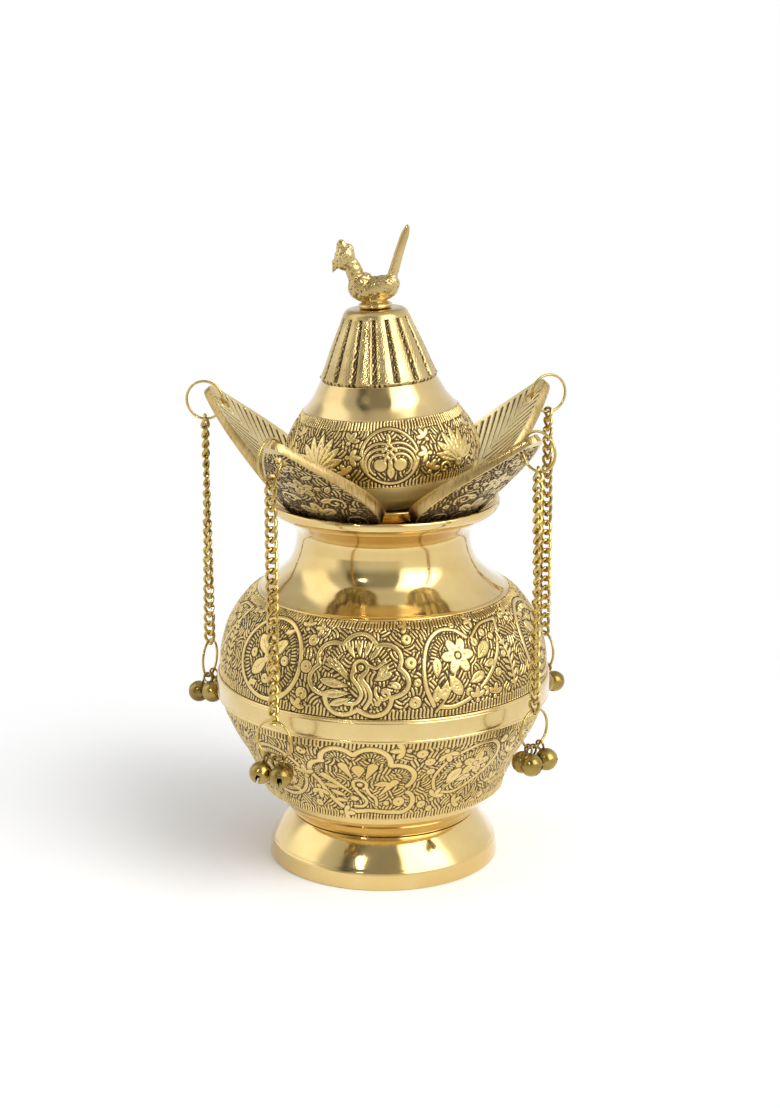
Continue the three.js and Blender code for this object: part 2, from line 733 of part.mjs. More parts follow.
function addBell(arm, name, place, lowSide, ringMiddle) {
  const { geometry, middle } = bellShape(place.stretch);
  const hook = new THREE.Vector3(
    ringRadius * Math.sin(place.hook * degrees),
    0,
    -ringRadius * Math.cos(place.hook * degrees),
  );
  const aside = place.aside - hook.x;
  const out = place.out * lowSide;
  const fall = Math.sqrt(middle ** 2 - aside ** 2 - out ** 2);
  const towards = new THREE.Vector3(aside, -out, -fall).normalize();
  hook.add(ringMiddle);
  const bell = new THREE.Mesh(geometry, new THREE.MeshStandardMaterial(chainBrass));
  bell.name = `bell_${place.side}_${name}`;
  bell.position.copy(hook);
  bell.quaternion.setFromUnitVectors(new THREE.Vector3(0, 0, -1), towards);
  const pea = new THREE.Mesh(
    new THREE.IcosahedronGeometry(peaRadius, 0),
    new THREE.MeshStandardMaterial(steel),
  );
  pea.name = `pea_${place.side}_${name}`;
  pea.position.copy(hook).addScaledVector(towards, -middle);
  pea.position.z -= 0.85 * (bellRadius - bellWall) - peaRadius - fit;
  arm.add(bell, pea);
}

// Each leaf with its tip ring, its chain, the ring of bells and the bells. An
// arm is built at the front and turned round the axis to its place.
leafAzimuths.forEach((azimuth, i) => {
  const arm = new THREE.Group();
  arm.rotation.z = azimuth * degrees;
  group.add(arm);
  const name = String(i + 1);
  const put = (label, geometry, finish, position) => {
    const mesh = new THREE.Mesh(geometry, new THREE.MeshStandardMaterial(finish));
    mesh.name = `${label}_${name}`;
    mesh.position.copy(position);
    arm.add(mesh);
  };
  const [tilt, footAt] = [tilts[i], leafFeet[i]];
  const tipMiddle = leafPoint(leafLength - ringShort, 0, leafTipThick / 2 - ringBelow, tilt, footAt);
  const hookUp = ringWire / 2 + chainWire / 2 + fit;
  const linkReach = (linkLength - chainWire) / 2;
  const firstLink = tipMiddle.clone();
  firstLink.z += hookUp - ringRadius - linkReach;
  const bellMiddle = firstLink.clone();
  bellMiddle.z += hookUp - ringRadius - linkReach - (linkCount - 1) * linkPitch;
  const tipRing = new THREE.TorusGeometry(ringRadius, ringWire / 2, 4, 14).rotateY(Math.PI / 2);
  const bellRing = new THREE.TorusGeometry(ringRadius, ringWire / 2, 4, 14).rotateX(Math.PI / 2);
  put("leaf", leafGeometry(tilt, footAt), agedBrass, new THREE.Vector3());
  put("tip_ring", tipRing, chainBrass, tipMiddle);
  put("chain", chainGeometry(), chainBrass, firstLink);
  put("bell_ring", bellRing, chainBrass, bellMiddle);
  bellPlaces.forEach((place) => addBell(arm, name, place, lowBellSides[i], bellMiddle));
});

export default group;
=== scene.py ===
import json
import math
import bmesh
import bpy
import numpy as np
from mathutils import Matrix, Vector


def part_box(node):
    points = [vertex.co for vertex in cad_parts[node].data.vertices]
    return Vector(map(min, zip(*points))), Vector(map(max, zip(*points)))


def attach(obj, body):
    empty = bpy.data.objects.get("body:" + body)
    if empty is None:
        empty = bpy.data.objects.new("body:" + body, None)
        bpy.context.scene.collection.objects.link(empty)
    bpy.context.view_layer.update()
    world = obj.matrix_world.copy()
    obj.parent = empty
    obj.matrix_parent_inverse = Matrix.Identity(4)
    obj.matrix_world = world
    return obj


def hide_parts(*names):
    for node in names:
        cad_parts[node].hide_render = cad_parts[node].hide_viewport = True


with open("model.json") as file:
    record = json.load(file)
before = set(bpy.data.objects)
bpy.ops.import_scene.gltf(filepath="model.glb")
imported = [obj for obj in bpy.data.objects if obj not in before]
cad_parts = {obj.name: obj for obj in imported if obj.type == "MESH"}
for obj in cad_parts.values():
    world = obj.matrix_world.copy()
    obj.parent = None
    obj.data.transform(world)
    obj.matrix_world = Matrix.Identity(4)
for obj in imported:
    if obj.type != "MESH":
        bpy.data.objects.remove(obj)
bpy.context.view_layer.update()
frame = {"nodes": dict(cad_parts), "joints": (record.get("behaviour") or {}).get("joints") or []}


def addObject(name, data):
    holder = bpy.data.objects.new(name, data)
    bpy.context.scene.collection.objects.link(holder)
    return holder


joints = {joint["name"]: joint for joint in frame["joints"]}
print("frame loaded")

# Camera: fitted to the ellipses of the foot, the belly and the mouth. Metres and degrees.
view = {"lens": 75.87, "sensor": 36, "distance": 0.84, "height": 0.3435, "down": 15.11, "roll": -0.172}
camera = addObject("camera", bpy.data.cameras.new("camera"))
camera.data.lens = view["lens"]
camera.data.sensor_width = view["sensor"]
camera.data.clip_end = 30
camera.location = (0, -view["distance"], view["height"])
camera.rotation_euler = (math.radians(90 - view["down"]), 0, math.radians(view["roll"]))
bpy.context.scene.camera = camera
bpy.context.scene.view_settings.view_transform = "Standard"


def linearColour(code):
    # sRGB hex to linear light
    parts = [int(code[i:i + 2], 16) / 255 for i in (1, 3, 5)]
    return [p / 12.92 if p <= 0.04045 else ((p + 0.055) / 1.055) ** 2.4 for p in parts] + [1]


def addNode(tree, kind, inputs=None, **settings):
    # an input is a number, a socket, or a node whose result is taken
    node = tree.nodes.new("ShaderNode" + kind)
    for key, value in settings.items():
        setattr(node, key, value)
    for key, value in (inputs or {}).items():
        if isinstance(value, bpy.types.Node):
            value = value.outputs[2 if value.bl_idname == "ShaderNodeMix" else 0]
        if isinstance(value, bpy.types.NodeSocket):
            tree.links.new(value, node.inputs[key])
        else:
            node.inputs[key].default_value = value
    return node


def setRamp(node, stops):
    ramp = node.color_ramp
    while len(ramp.elements) < len(stops):
        ramp.elements.new(1)
    for element, (place, colour) in zip(ramp.elements, stops):
        element.position = place
        element.color = colour


# Surroundings: a white horizon all round, above it a hot soft box on the right, a
# weaker one on the left and a dim camera side, and a grey ceiling over them. The
# ring above the horizon is told apart by the azimuth of a ray from the front.
world = bpy.data.worlds.new("studio")
world.use_nodes = True
bpy.context.scene.world = world
tree = world.node_tree
tree.nodes.clear()
ray = addNode(tree, "SeparateXYZ", {0: addNode(tree, "TexCoord").outputs["Generated"]})
back = addNode(tree, "Math", {0: ray.outputs[1], 1: -1.0}, operation="MULTIPLY")
azimuth = addNode(tree, "Math", {0: ray, 1: back}, operation="ARCTAN2")
share = addNode(tree, "MapRange", {0: azimuth, 1: -math.pi, 2: math.pi})
# each ring of the surroundings: azimuth in degrees from the front, radiance
strength = 4.2
horizon = [(-180, 0.9), (-66, 1.15), (-52, 0.5), (-40, 0.45), (-30, 0.72), (18, 0.78), (28, 1.05),
           (180, 0.9)]
upper = [(-180, 0.5), (-124, 0.6), (-116, 1.5), (-82, 1.5), (-72, 0.7), (-52, 0.55), (-46, 0.1),
         (-34, 0.14), (-24, 0.32), (12, 0.36), (20, 0.3), (27, 4.2), (70, 4.2), (82, 1.1), (136, 0.9),
         (180, 0.5)]
rings = []
for stops in (horizon, upper):
    ramp = addNode(tree, "ValToRGB", {0: share})
    setRamp(ramp, [((a + 180) / 360, (b / strength,) * 3 + (1,)) for a, b in stops])
    rings.append(ramp)
rise = addNode(tree, "MapRange", {0: ray.outputs[2], 1: 0.2, 2: 0.42})
sides = addNode(tree, "Mix", {0: rise, 6: rings[0], 7: rings[1]}, data_type="RGBA")
level = addNode(tree, "MapRange", {0: ray.outputs[2], 1: 0.82, 2: 0.94})
ceiling = addNode(tree, "Mix", {0: level, 6: sides, 7: (0.17, 0.17, 0.17, 1)}, data_type="RGBA")
rayKind = addNode(tree, "LightPath")
backdrop = (1 / strength,) * 3 + (1,)
seen = addNode(tree, "Mix", {0: rayKind.outputs["Is Camera Ray"], 6: ceiling, 7: backdrop}, data_type="RGBA")
light = addNode(tree, "Background", {"Color": seen, "Strength": strength})
addNode(tree, "OutputWorld", {0: light})

lamps = [
    {"name": "key", "at": (0.62, -0.42, 0.85), "size": 0.6, "power": 3.8, "glossy": False},
    {"name": "spark", "at": (-0.32, -0.62, 0.62), "size": 0.07, "power": 0.55, "glossy": True},
]
for lamp in lamps:
    data = bpy.data.lights.new(lamp["name"], "AREA")
    data.size = lamp["size"]
    data.energy = lamp["power"]
    data.color = (1, 0.985, 0.96)
    holder = addObject(lamp["name"], data)
    holder.location = lamp["at"]
    aim = Vector((0, 0, 0.1)) - holder.location
    holder.rotation_euler = aim.to_track_quat("-Z", "Y").to_euler()
    holder.visible_glossy = lamp["glossy"]

# Finishes. Sizes of patterns are given in mm.
finishes = {}
leanAngle = math.radians(2.7)
leanPivot = 150.4


def brass(name, pale, deep, roughness, spread=0.06, marks="turned", relief=0.02, markSize=0.3, patina=None,
          leaning=False, lacquer=0.8, metal=1.0):
    # pale and deep drift into each other in soft clouds; the patina-and-shade attribute turns
    # the surface to the patina colour, both for real patina in cuts and for painted shade; the
    # marks are a fine bump of turning lines, cast grain or file strokes
    material = bpy.data.materials.new(name)
    material.use_nodes = True
    tree = material.node_tree
    tree.nodes.clear()
    place = addNode(tree, "TexCoord").outputs["Object"]
    if leaning:
        pivot = leanPivot / 1000
        shift = (-pivot * math.sin(leanAngle), 0, pivot * (1 - math.cos(leanAngle)))
        place = addNode(tree, "Mapping", {0: place, 1: shift, 2: (0, leanAngle, 0)})
    clouds = addNode(tree, "TexNoise", {0: place, "Scale": 1000 / 14, "Detail": 3.0})
    drift = addNode(tree, "MapRange", {0: clouds, 1: 0.35, 2: 0.7})
    colour = addNode(tree, "Mix", {0: drift, 6: linearColour(pale), 7: linearColour(deep)}, data_type="RGBA")
    if marks == "filed":
        place = addNode(tree, "VectorMath", {0: place, 1: (1, 1, 0.07)}, operation="MULTIPLY")
        streaks = addNode(tree, "TexNoise", {0: place, "Scale": 1000 / 0.8, "Detail": 2.0})
        dark = addNode(tree, "MapRange", {0: streaks, 1: 0.5, 2: 0.72})
        colour = addNode(tree, "Mix", {0: dark, 6: colour, 7: linearColour(deep)}, data_type="RGBA")
    smears = addNode(tree, "TexNoise", {0: place, "Scale": 1000 / 4.5, "Detail": 4.0})
    shine = addNode(tree, "MapRange", {0: smears, 1: 0.3, 2: 0.75, 3: roughness - spread / 2,
                                       4: roughness + spread})
    if patina:
        patinaAndShadeLayer = addNode(tree, "Attribute", attribute_name="patinaAndShadeLayer").outputs["Fac"]
        grain = addNode(tree, "TexNoise", {0: place, "Scale": 1000 / 0.9, "Detail": 3.0})
        uneven = addNode(tree, "Math", {0: grain, 1: 0.5, 2: -0.25}, operation="MULTIPLY_ADD")
        depth = addNode(tree, "Math", {0: patinaAndShadeLayer, 1: uneven}, operation="ADD")
        patinaAndShade = addNode(tree, "MapRange", {0: depth, 1: 0.22, 2: 0.85}, interpolation_type="SMOOTHSTEP")
        colour = addNode(tree, "Mix", {0: patinaAndShade, 6: colour, 7: linearColour(patina)}, data_type="RGBA")
        shine = addNode(tree, "Math", {0: patinaAndShade, 1: 0.3, 2: shine}, operation="MULTIPLY_ADD")
        metal = addNode(tree, "MapRange", {0: patinaAndShade, 3: metal, 4: 0.72})
    if marks == "turned":
        parts = addNode(tree, "SeparateXYZ", {0: place})
        flat = addNode(tree, "CombineXYZ", {0: parts, 1: parts.outputs[1]})
        radius = addNode(tree, "VectorMath", {0: flat}, operation="LENGTH")
        place = addNode(tree, "CombineXYZ", {0: radius.outputs["Value"], 2: parts.outputs[2]})
    fine = addNode(tree, "TexNoise", {0: place, "Scale": 1000 / markSize, "Detail": 3.0})
    bump = addNode(tree, "Bump", {"Strength": 0.6, "Distance": relief / 1000, "Height": fine})
    # the lacquer over the brass adds a thin white gloss
    shader = addNode(tree, "BsdfPrincipled", {
        "Base Color": colour, "Metallic": metal, "Roughness": shine, "Normal": bump,
        "Coat Weight": lacquer, "Coat Roughness": 0.12})
    addNode(tree, "OutputMaterial", {0: shader})
    finishes[name] = material


# Turned brass buffed to a mirror: clear reflections with faint rings from the lathe.
brass("polished_turned_brass", "#E2C683", "#DABA72", 0.1, spread=0.05, relief=0.004, markSize=0.45)
brass("polished_leaning_brass", "#DABF82", "#CAAC6C", 0.12, spread=0.07, relief=0.006, leaning=True)
# The underside of the coconut is only scoured.
brass("scoured_leaning_brass", "#E8CE88", "#DCBE70", 0.4, spread=0.08, markSize=0.6, leaning=True, metal=0.4)
# The hoop was brushed after turning: clear fine rings and a softer gloss.
brass("brushed_turned_brass", "#E2C887", "#D9BC78", 0.2, markSize=0.6)
# Engraved brass: pale satin ridges, dark brown patina left in the cuts.
brass("engraved_brass", "#E8CD8A", "#D8BA70", 0.25, spread=0.1, marks="cast", relief=0.01, patina="#4C340C",
      lacquer=0.25)
# Cast and chased brass: satin with fine casting grain, darker where it is recessed.
brass("cast_brass", "#D6BE84", "#B9A068", 0.22, spread=0.12, marks="cast", relief=0.03, markSize=0.5,
      patina="#40290A", lacquer=0.12)
# The leaves are cast too, but scoured pale on their ridges.
brass("cast_leaf_brass", "#EAD69E", "#CFB87E", 0.3, spread=0.12, marks="cast", relief=0.03, markSize=0.6,
      patina="#4A300C", lacquer=0.3)
# Filed edges of the castings: brighter, with short strokes across.
brass("filed_brass", "#D3B578", "#A08448", 0.24, spread=0.1, marks="filed", relief=0.12, markSize=0.5,
      lacquer=0.4)
# Drawn brass wire: yellower and smooth.
brass("drawn_brass_wire", "#CDB25C", "#B49644", 0.2, spread=0.1, marks="cast", relief=0.006, markSize=0.8)
# Pressed brass bells, lightly tarnished; the dark patina colour also paints shade on their lower halves.
brass("pressed_bell_brass", "#B59A4C", "#7E682E", 0.2, spread=0.14, marks="cast", markSize=0.9,
      patina="#3A280C", lacquer=0.4)
# Plain steel of the bolt and of the peas in the bells.
brass("plain_steel", "#A9A9A6", "#8E8E8A", 0.34, marks="cast", relief=0.01, markSize=0.4, lacquer=0.0)

# Matt white paper under the pot: it runs into the white backdrop away from it.
floorPaint = bpy.data.materials.new("matt_white_paper")
floorPaint.use_nodes = True
tree = floorPaint.node_tree
tree.nodes.clear()
place = addNode(tree, "TexCoord").outputs["Object"]
fibre = addNode(tree, "TexNoise", {0: place, "Scale": 260.0, "Detail": 4.0})
paper = addNode(tree, "MapRange", {0: fibre, 3: 0.88, 4: 0.9})
shader = addNode(tree, "BsdfPrincipled", {"Base Color": paper, "Roughness": 1, "Specular IOR Level": 0})
away = addNode(tree, "VectorMath", {0: place}, operation="LENGTH").outputs["Value"]
fade = addNode(tree, "MapRange", {0: away, 1: 0.07, 2: 0.3}, interpolation_type="SMOOTHSTEP")
glow = addNode(tree, "Emission", {1: 1.0})
blend = addNode(tree, "MixShader", {0: fade, 1: shader, 2: glow})
addNode(tree, "OutputMaterial", {0: blend})
print("camera, light and finishes made")


def setLayer(mesh, name, values):
    layer = mesh.attributes.new(name, "FLOAT", "POINT")
    layer.data.foreach_set("value", np.asarray(values, dtype=np.float32).ravel())


def readEach(items, key, width=1, kind=float):
    values = np.empty(len(items) * width, dtype=kind)
    items.foreach_get(key, values)
    return values.reshape(-1, width) if width > 1 else values


def finishPiece(name, mesh, material, body, replaced=None, sharp=38):
    # every face is smooth, and edges sharper than the angle stay crisp
    mesh.materials.clear()
    mesh.materials.append(finishes[material])
    mesh.polygons.foreach_set("material_index", np.zeros(len(mesh.polygons), dtype=np.int32))
    mesh.polygons.foreach_set("use_smooth", np.ones(len(mesh.polygons), dtype=bool))
    mesh.set_sharp_from_angle(angle=math.radians(sharp))
    mesh.update()
    piece = addObject(name, mesh)
    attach(piece, body)
    if replaced:
        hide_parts(replaced)
    return piece


def buildMesh(name, points, faces, material, body, replaced=None, patinaAndShadeLayer=None, sharp=38, poles=False):
    # points are in mm; poles merges the points of a profile that lie on the axis
    mesh = bpy.data.meshes.new(name)
    mesh.from_pydata((np.asarray(points) / 1000).tolist(), [], faces)
    if patinaAndShadeLayer is not None:
        setLayer(mesh, "patinaAndShadeLayer", patinaAndShadeLayer)
    if poles:
        work = bmesh.new()
        work.from_mesh(mesh)
        bmesh.ops.remove_doubles(work, verts=work.verts, dist=1e-6)
        work.to_mesh(mesh)
        work.free()
    return finishPiece(name, mesh, material, body, replaced, sharp)


def gridFaces(rows, columns, closeRows=False, closeColumns=True, caps=False):
    # quads of a grid of points; they face out where rows go up and columns go right
    a = np.arange(rows if closeRows else rows - 1)[:, None]
    b = np.arange(columns if closeColumns else columns - 1)[None, :]
    a2, b2 = (a + 1) % rows, (b + 1) % columns
    quads = np.stack([a * columns + b, a * columns + b2, a2 * columns + b2, a2 * columns + b], axis=-1)
    faces = quads.reshape(-1, 4).tolist()
    if caps:
        faces += [list(range(columns))[::-1], [(rows - 1) * columns + i for i in range(columns)]]
    return faces


def fullTurn(count):
    return np.linspace(0, 2 * math.pi, count, endpoint=False)


def throughPoints(points, steps):
    # uniform Catmull-Rom spline through points, its ends doubled
    points = np.asarray(points, dtype=float)
    padded = np.vstack([points[:1], points, points[-1:]])
    at = np.linspace(0, len(points) - 1, steps + 1)
    k = np.minimum(at.astype(int), len(points) - 2)
    t = (at - k)[:, None]
    p0, p1, p2, p3 = (padded[k + i] for i in range(4))
    v0, v1 = (p2 - p0) / 2, (p3 - p1) / 2
    return (2 * p1 - 2 * p2 + v0 + v1) * t ** 3 + (3 * p2 - 3 * p1 - 2 * v0 - v1) * t ** 2 + v0 * t + p1


def lengthsAlong(points):
    return np.concatenate([[0], np.cumsum(np.linalg.norm(np.diff(points, axis=0), axis=1))])


def evenly(points, count):
    # a path's points spread at equal lengths along it
    along = lengthsAlong(points)
    at = np.linspace(0, along[-1], count)
    return np.stack([np.interp(at, along, points[:, i]) for i in range(points.shape[1])], axis=1)


def unit(ways):
    return ways / np.linalg.norm(ways, axis=-1, keepdims=True)


def heading(degrees):
    return np.array([math.cos(math.radians(degrees)), math.sin(math.radians(degrees))])


def spun(x, y, turn):
    # x and y turned anticlockwise by an angle in radians
    return x * math.cos(turn) - y * math.sin(turn), x * math.sin(turn) + y * math.cos(turn)


def profileNormals(profile):
    along = unit(np.gradient(profile, axis=0))
    return np.stack([along[:, 1], -along[:, 0]], axis=1)


def easeCorners(points, size, steps=4):
    # each corner of a closed profile becomes a short quadratic curve
    points = np.asarray(points, dtype=float)
    eased = []
    for i, corner in enumerate(points):
        before, after = points[i - 1], points[(i + 1) % len(points)]
        if corner[0] < 0.01:
            eased.append(corner)
            continue
        ends = []
        for other in (before, after):
            reach = np.linalg.norm(other - corner)
            ends.append(corner + (other - corner) * min(size, reach * 0.45) / max(reach, 1e-6))
        turn = np.dot(corner - before, after - corner)
        turn /= max(np.linalg.norm(corner - before) * np.linalg.norm(after - corner), 1e-9)
        for t in (np.linspace(0, 1, steps) if turn < 0.985 else [0.5]):
            eased.append((1 - t) ** 2 * ends[0] + 2 * t * (1 - t) * corner + t ** 2 * ends[1])
    return np.array(eased)


def leaned(points):
    # turned about the Y axis, to the left, round the middle of the coconut's widest seam
    x, z = spun(points[..., 0], points[..., 2] - leanPivot, leanAngle)
    return np.stack([x, points[..., 1], z + leanPivot], axis=-1)


def aroundAxis(radius, height, angle):
    return np.stack([radius * np.sin(angle), -radius * np.cos(angle), height + 0 * angle], axis=-1)


def turnedPiece(piece, columns=150):
    # a closed profile of radius and height, spun about the axis
    profile = easeCorners(piece["profile"], piece["ease"])
    points = aroundAxis(profile[:, :1], profile[:, 1:], fullTurn(columns)[None, :])
    if piece.get("leaning"):
        points = leaned(points)
    buildMesh(piece["name"], points.reshape(-1, 3), gridFaces(len(profile), columns, closeRows=True),
              piece["finish"], piece["body"], piece.get("replaced"), sharp=50, poles=True)


# Engraving. A plate is a height field over a developed band, in mm: u runs round the
# band and wraps, v runs up it, 1 is the original surface and 0 the bottom of a cut.
chance = np.random.default_rng(7)


def makePlate(columns, rows, wide, high, degrees=360):
    # degrees is how far round the piece the plate reaches
    return {"height": np.zeros((rows, columns)), "du": wide / columns, "dv": high / (rows - 1),
            "wide": wide, "high": high, "degrees": degrees}


def draw(plate, path, radius, level=1.0, soft=0.3):
    # moves the height to a level within the radius of a path, fading over its soft edge
    path = np.atleast_2d(np.asarray(path, dtype=float))
    radius = np.broadcast_to(np.asarray(radius, dtype=float), (len(path),))
    if len(path) > 1:
        along = lengthsAlong(path)
        count = max(2, int(along[-1] / 0.35) + 1)
        at = np.linspace(0, along[-1], count)
        path = evenly(path, count)
        radius = np.interp(at, along, radius)
    height = plate["height"]
    rows, columns = height.shape
    for i in range(0, len(path), 16):
        part, thick = path[i:i + 17], radius[i:i + 17]
        reach = thick.max() + soft
        low, high = part.min(axis=0) - reach, part.max(axis=0) + reach
        u = np.arange(math.floor(low[0] / plate["du"]), math.ceil(high[0] / plate["du"]) + 1)
        lowest, highest = math.floor(low[1] / plate["dv"]), math.ceil(high[1] / plate["dv"])
        v = np.arange(max(0, lowest), min(rows - 1, highest) + 1)
        if not len(v):
            continue
        away = np.hypot(u[None, :, None] * plate["du"] - part[:, 0],
                        v[:, None, None] * plate["dv"] - part[:, 1])
        share = np.clip(0.5 - (away - thick).min(axis=2) / soft, 0, 1)
        spot = np.ix_(v, u % columns)
        height[spot] += (level - height[spot]) * share


def engrave(plate, strokes, margin=0.42):
    # clears a dark margin round all raised strokes of a motif, then draws it
    for path, radius, level in strokes:
        if level > 0.5:
            draw(plate, path, np.asarray(radius) + margin, 0.0)
    for path, radius, level in strokes:
        draw(plate, path, radius, level)


def line(points, radius=0.42, closed=False):
    points = np.asarray(points, dtype=float)
    if closed:
        points = np.vstack([points, points[:1]])
    if len(points) > 2:
        points = throughPoints(points, 10 * len(points))
    return [(points, radius, 1.0)]


def arc(x, y, radius, start, end, thick=0.42):
    angle = np.radians(np.linspace(start, end, max(6, int(abs(end - start) / 9))))
    return [(np.stack([x + radius * np.cos(angle), y + radius * np.sin(angle)], axis=1), thick, 1.0)]


def petal(x, y, angle, length, width, vein=True):
    # a drop: half its width times the sine of a power of the share along it
    share = np.linspace(0.03, 0.97, max(5, int(length / 0.4)))
    way = heading(angle)
    path = np.array([x, y]) + share[:, None] * length * way
    strokes = [(path, width / 2 * np.sin(np.pi * share ** 1.35) + 0.05, 1.0)]
    if vein and width > 2:
        strokes.append((path[1:int(0.75 * len(path))], 0.12, 0.15))
        side = np.array([-way[1], way[0]])
        for part in (0.4, 0.56, 0.7):
            for sign in (-1, 1):
                base = path[int(part * len(path))]
                strokes.append((np.array([base, base + (way * 0.9 + side * sign) * width * 0.2]), 0.1, 0.2))
    return strokes


def dot(x, y, radius, pit=True):
    strokes = [(np.array([[x, y]]), radius, 1.0)]
    if pit:
        strokes.append((np.array([[x, y]]), radius * 0.22, 0.25))
    return strokes


def wedge(x, y, angle, length, wide):
    # a petal that widens to a blunt end
    way = heading(angle)
    share = np.linspace(0, 1, 12)
    return [(np.array([x, y]) + share[:, None] * length * way, 0.3 + (wide / 2 - 0.3) * share, 1.0)]


def each(shape, *rows):
    # the strokes of one shape drawn with each row of its values
    return [stroke for row in rows for stroke in shape(*row)]


def flower(x, y, reach, petals=5, turn=90, width=3.4):
    rows = [(x, y, turn + i * 360 / petals, reach, width) for i in range(petals)]
    return each(petal, *rows) + [(np.array([[x, y]]), 1.5, 0.0)] + dot(x, y, 1.05)


def sprig():
    return each(petal, (0, 0, 90, 5, 2), (0, 0, 35, 4.6, 1.9), (0, 0, 145, 4.6, 1.9)) + dot(0, -1.2, 0.9)


def spiral(x, y, radius, start, turns, thick=0.4, way=1):
    # its radius shrinks in step with its angle
    share = np.linspace(0, 1, int(22 * turns) + 4)
    angle = math.radians(start) + way * share * turns * 2 * math.pi
    size = radius * (1 - 0.88 * share)
    return [(np.stack([x + size * np.cos(angle), y + size * np.sin(angle)], axis=1), thick, 1.0)]


def lobes(x, y, wide, high, count, bulge, thick):
    # an oval from its lowest point, whose radius swells count times by the bulge
    angle = np.radians(-90 + np.linspace(0, 360, 30 * count // 2 + 1))
    swell = bulge * np.abs(np.sin((angle + math.pi / 2) * count / 2))
    path = np.stack([x + (wide + swell) * np.cos(angle), y + (high + swell) * np.sin(angle)], axis=1)
    return [(path, thick, 1.0)]


def rays(path, length, gap=1.25, thick=0.3, towards=(0, 0)):
    # short strokes towards a point, each starting a little off the path
    points = evenly(path, max(3, int(lengthsAlong(path)[-1] / gap)))
    ways = unit(np.array(towards) - points)
    return [(np.array([point + way * 1.3, point + way * (1.3 + length)]), thick, 1.0)
            for point, way in zip(points, ways)]


def feather(length, width, barbs):
    # a stem with slanting barbs that shorten towards both ends
    strokes = line([[0, 0], [0.6, length * 0.5], [0, length]], 0.4)
    for i in range(barbs):
        share = (i + 0.6) / barbs
        reach = width * math.sin(math.pi * min(1, share * 0.9 + 0.12)) ** 0.7
        for sign in (-1, 1):
            strokes += petal(0.3, share * length * 0.92, 90 - sign * 48, reach, 1.15, False)
    return strokes


def moved(strokes, x, y, angle=0, size=1.0, flip=1):
    # a motif at another place, turned, sized or mirrored; its lines grow half as much
    placed = []
    for path, radius, level in strokes:
        right, up = spun(path[:, 0] * flip * size, path[:, 1] * size, math.radians(angle))
        thick = np.asarray(radius) * (0.5 + 0.5 * size)
        placed.append((np.stack([x + right, y + up], axis=1), thick, level))
    return placed


def fadeIn(value, low, high):
    # 0 below low, 1 above high, a smooth step between
    share = np.clip((value - low) / (high - low), 0, 1)
    return share * share * (3 - 2 * share)


def drawGround(plate, cell=4.0, gap=1.4, swing=60):
    # small patches of parallel cuts: each point belongs to its nearest patch middle, and
    # the height is a comb across that patch's own direction, slightly bent
    rows, columns = plate["height"].shape
    u = np.arange(columns)[None, :] * plate["du"]
    v = np.arange(rows)[:, None] * plate["dv"]
    across, up = round(plate["wide"] / cell), round(plate["high"] / cell)
    nearest, second = np.full((rows, columns), 1e3), np.full((rows, columns), 1e3)
    comb = np.zeros((rows, columns))
    for j in range(up):
        for i in range(across):
            spot = np.array([(i + 0.5 * (j % 2)) * plate["wide"] / across,
                             (j + 0.5) * plate["high"] / up])
            spot += chance.uniform(-0.3, 0.3, 2) * cell
            turn = math.radians(90 + chance.uniform(-swing, swing))
            bend = chance.uniform(-0.16, 0.16)
            right = (u - spot[0] + plate["wide"] / 2) % plate["wide"] - plate["wide"] / 2
            above = v - spot[1]
            away = np.hypot(right, above)
            along = right * math.cos(turn) + above * math.sin(turn)
            beside = right * math.sin(turn) - above * math.cos(turn) + bend * along * along
            fromCut = np.abs((beside / gap + chance.uniform(0, 1)) % 1 - 0.5) * gap
            second = np.where(away < nearest, nearest, np.minimum(second, away))
            comb = np.where(away < nearest, fadeIn(fromCut, 0.14, 0.5) * chance.uniform(0.72, 1), comb)
            nearest = np.minimum(nearest, away)
    plate["height"][:] = comb * (0.35 + 0.65 * fadeIn(second - nearest, 0.05, 0.7))


def drawFringe(plate, v, length, gap=1.35, lean=0.12):
    # a row of short upright strokes along an edge, a dark cut between each two
    draw(plate, np.array([[0, v + length / 2], [plate["wide"], v + length / 2]]), length / 2 + 0.1, 0.0)
    for u in np.arange(0, plate["wide"] - 0.5 * gap, gap):
        foot = np.array([u + chance.uniform(-0.1, 0.1), v])
        tip = foot + [lean * length, length * chance.uniform(0.9, 1.1)]
        draw(plate, np.array([foot, tip]), 0.36, 1.0)


def engraveAt(plate, motif, azimuth, v, **change):
    # engraves a motif at an azimuth from the middle of the plate
    degrees = plate["degrees"]
    engrave(plate, moved(motif, (degrees / 2 + azimuth) * (plate["wide"] / degrees), v, **change))


def scatter(plate, dots, sprigs, size=1.0):
    # dots by azimuth, height and radius, then sprigs by azimuth, height and turn
    for azimuth, v, radius in dots:
        engraveAt(plate, dot(0, 0, radius), azimuth, v)
    for azimuth, v, turn in sprigs:
        engraveAt(plate, sprig(), azimuth, v, angle=turn - 90, size=size)


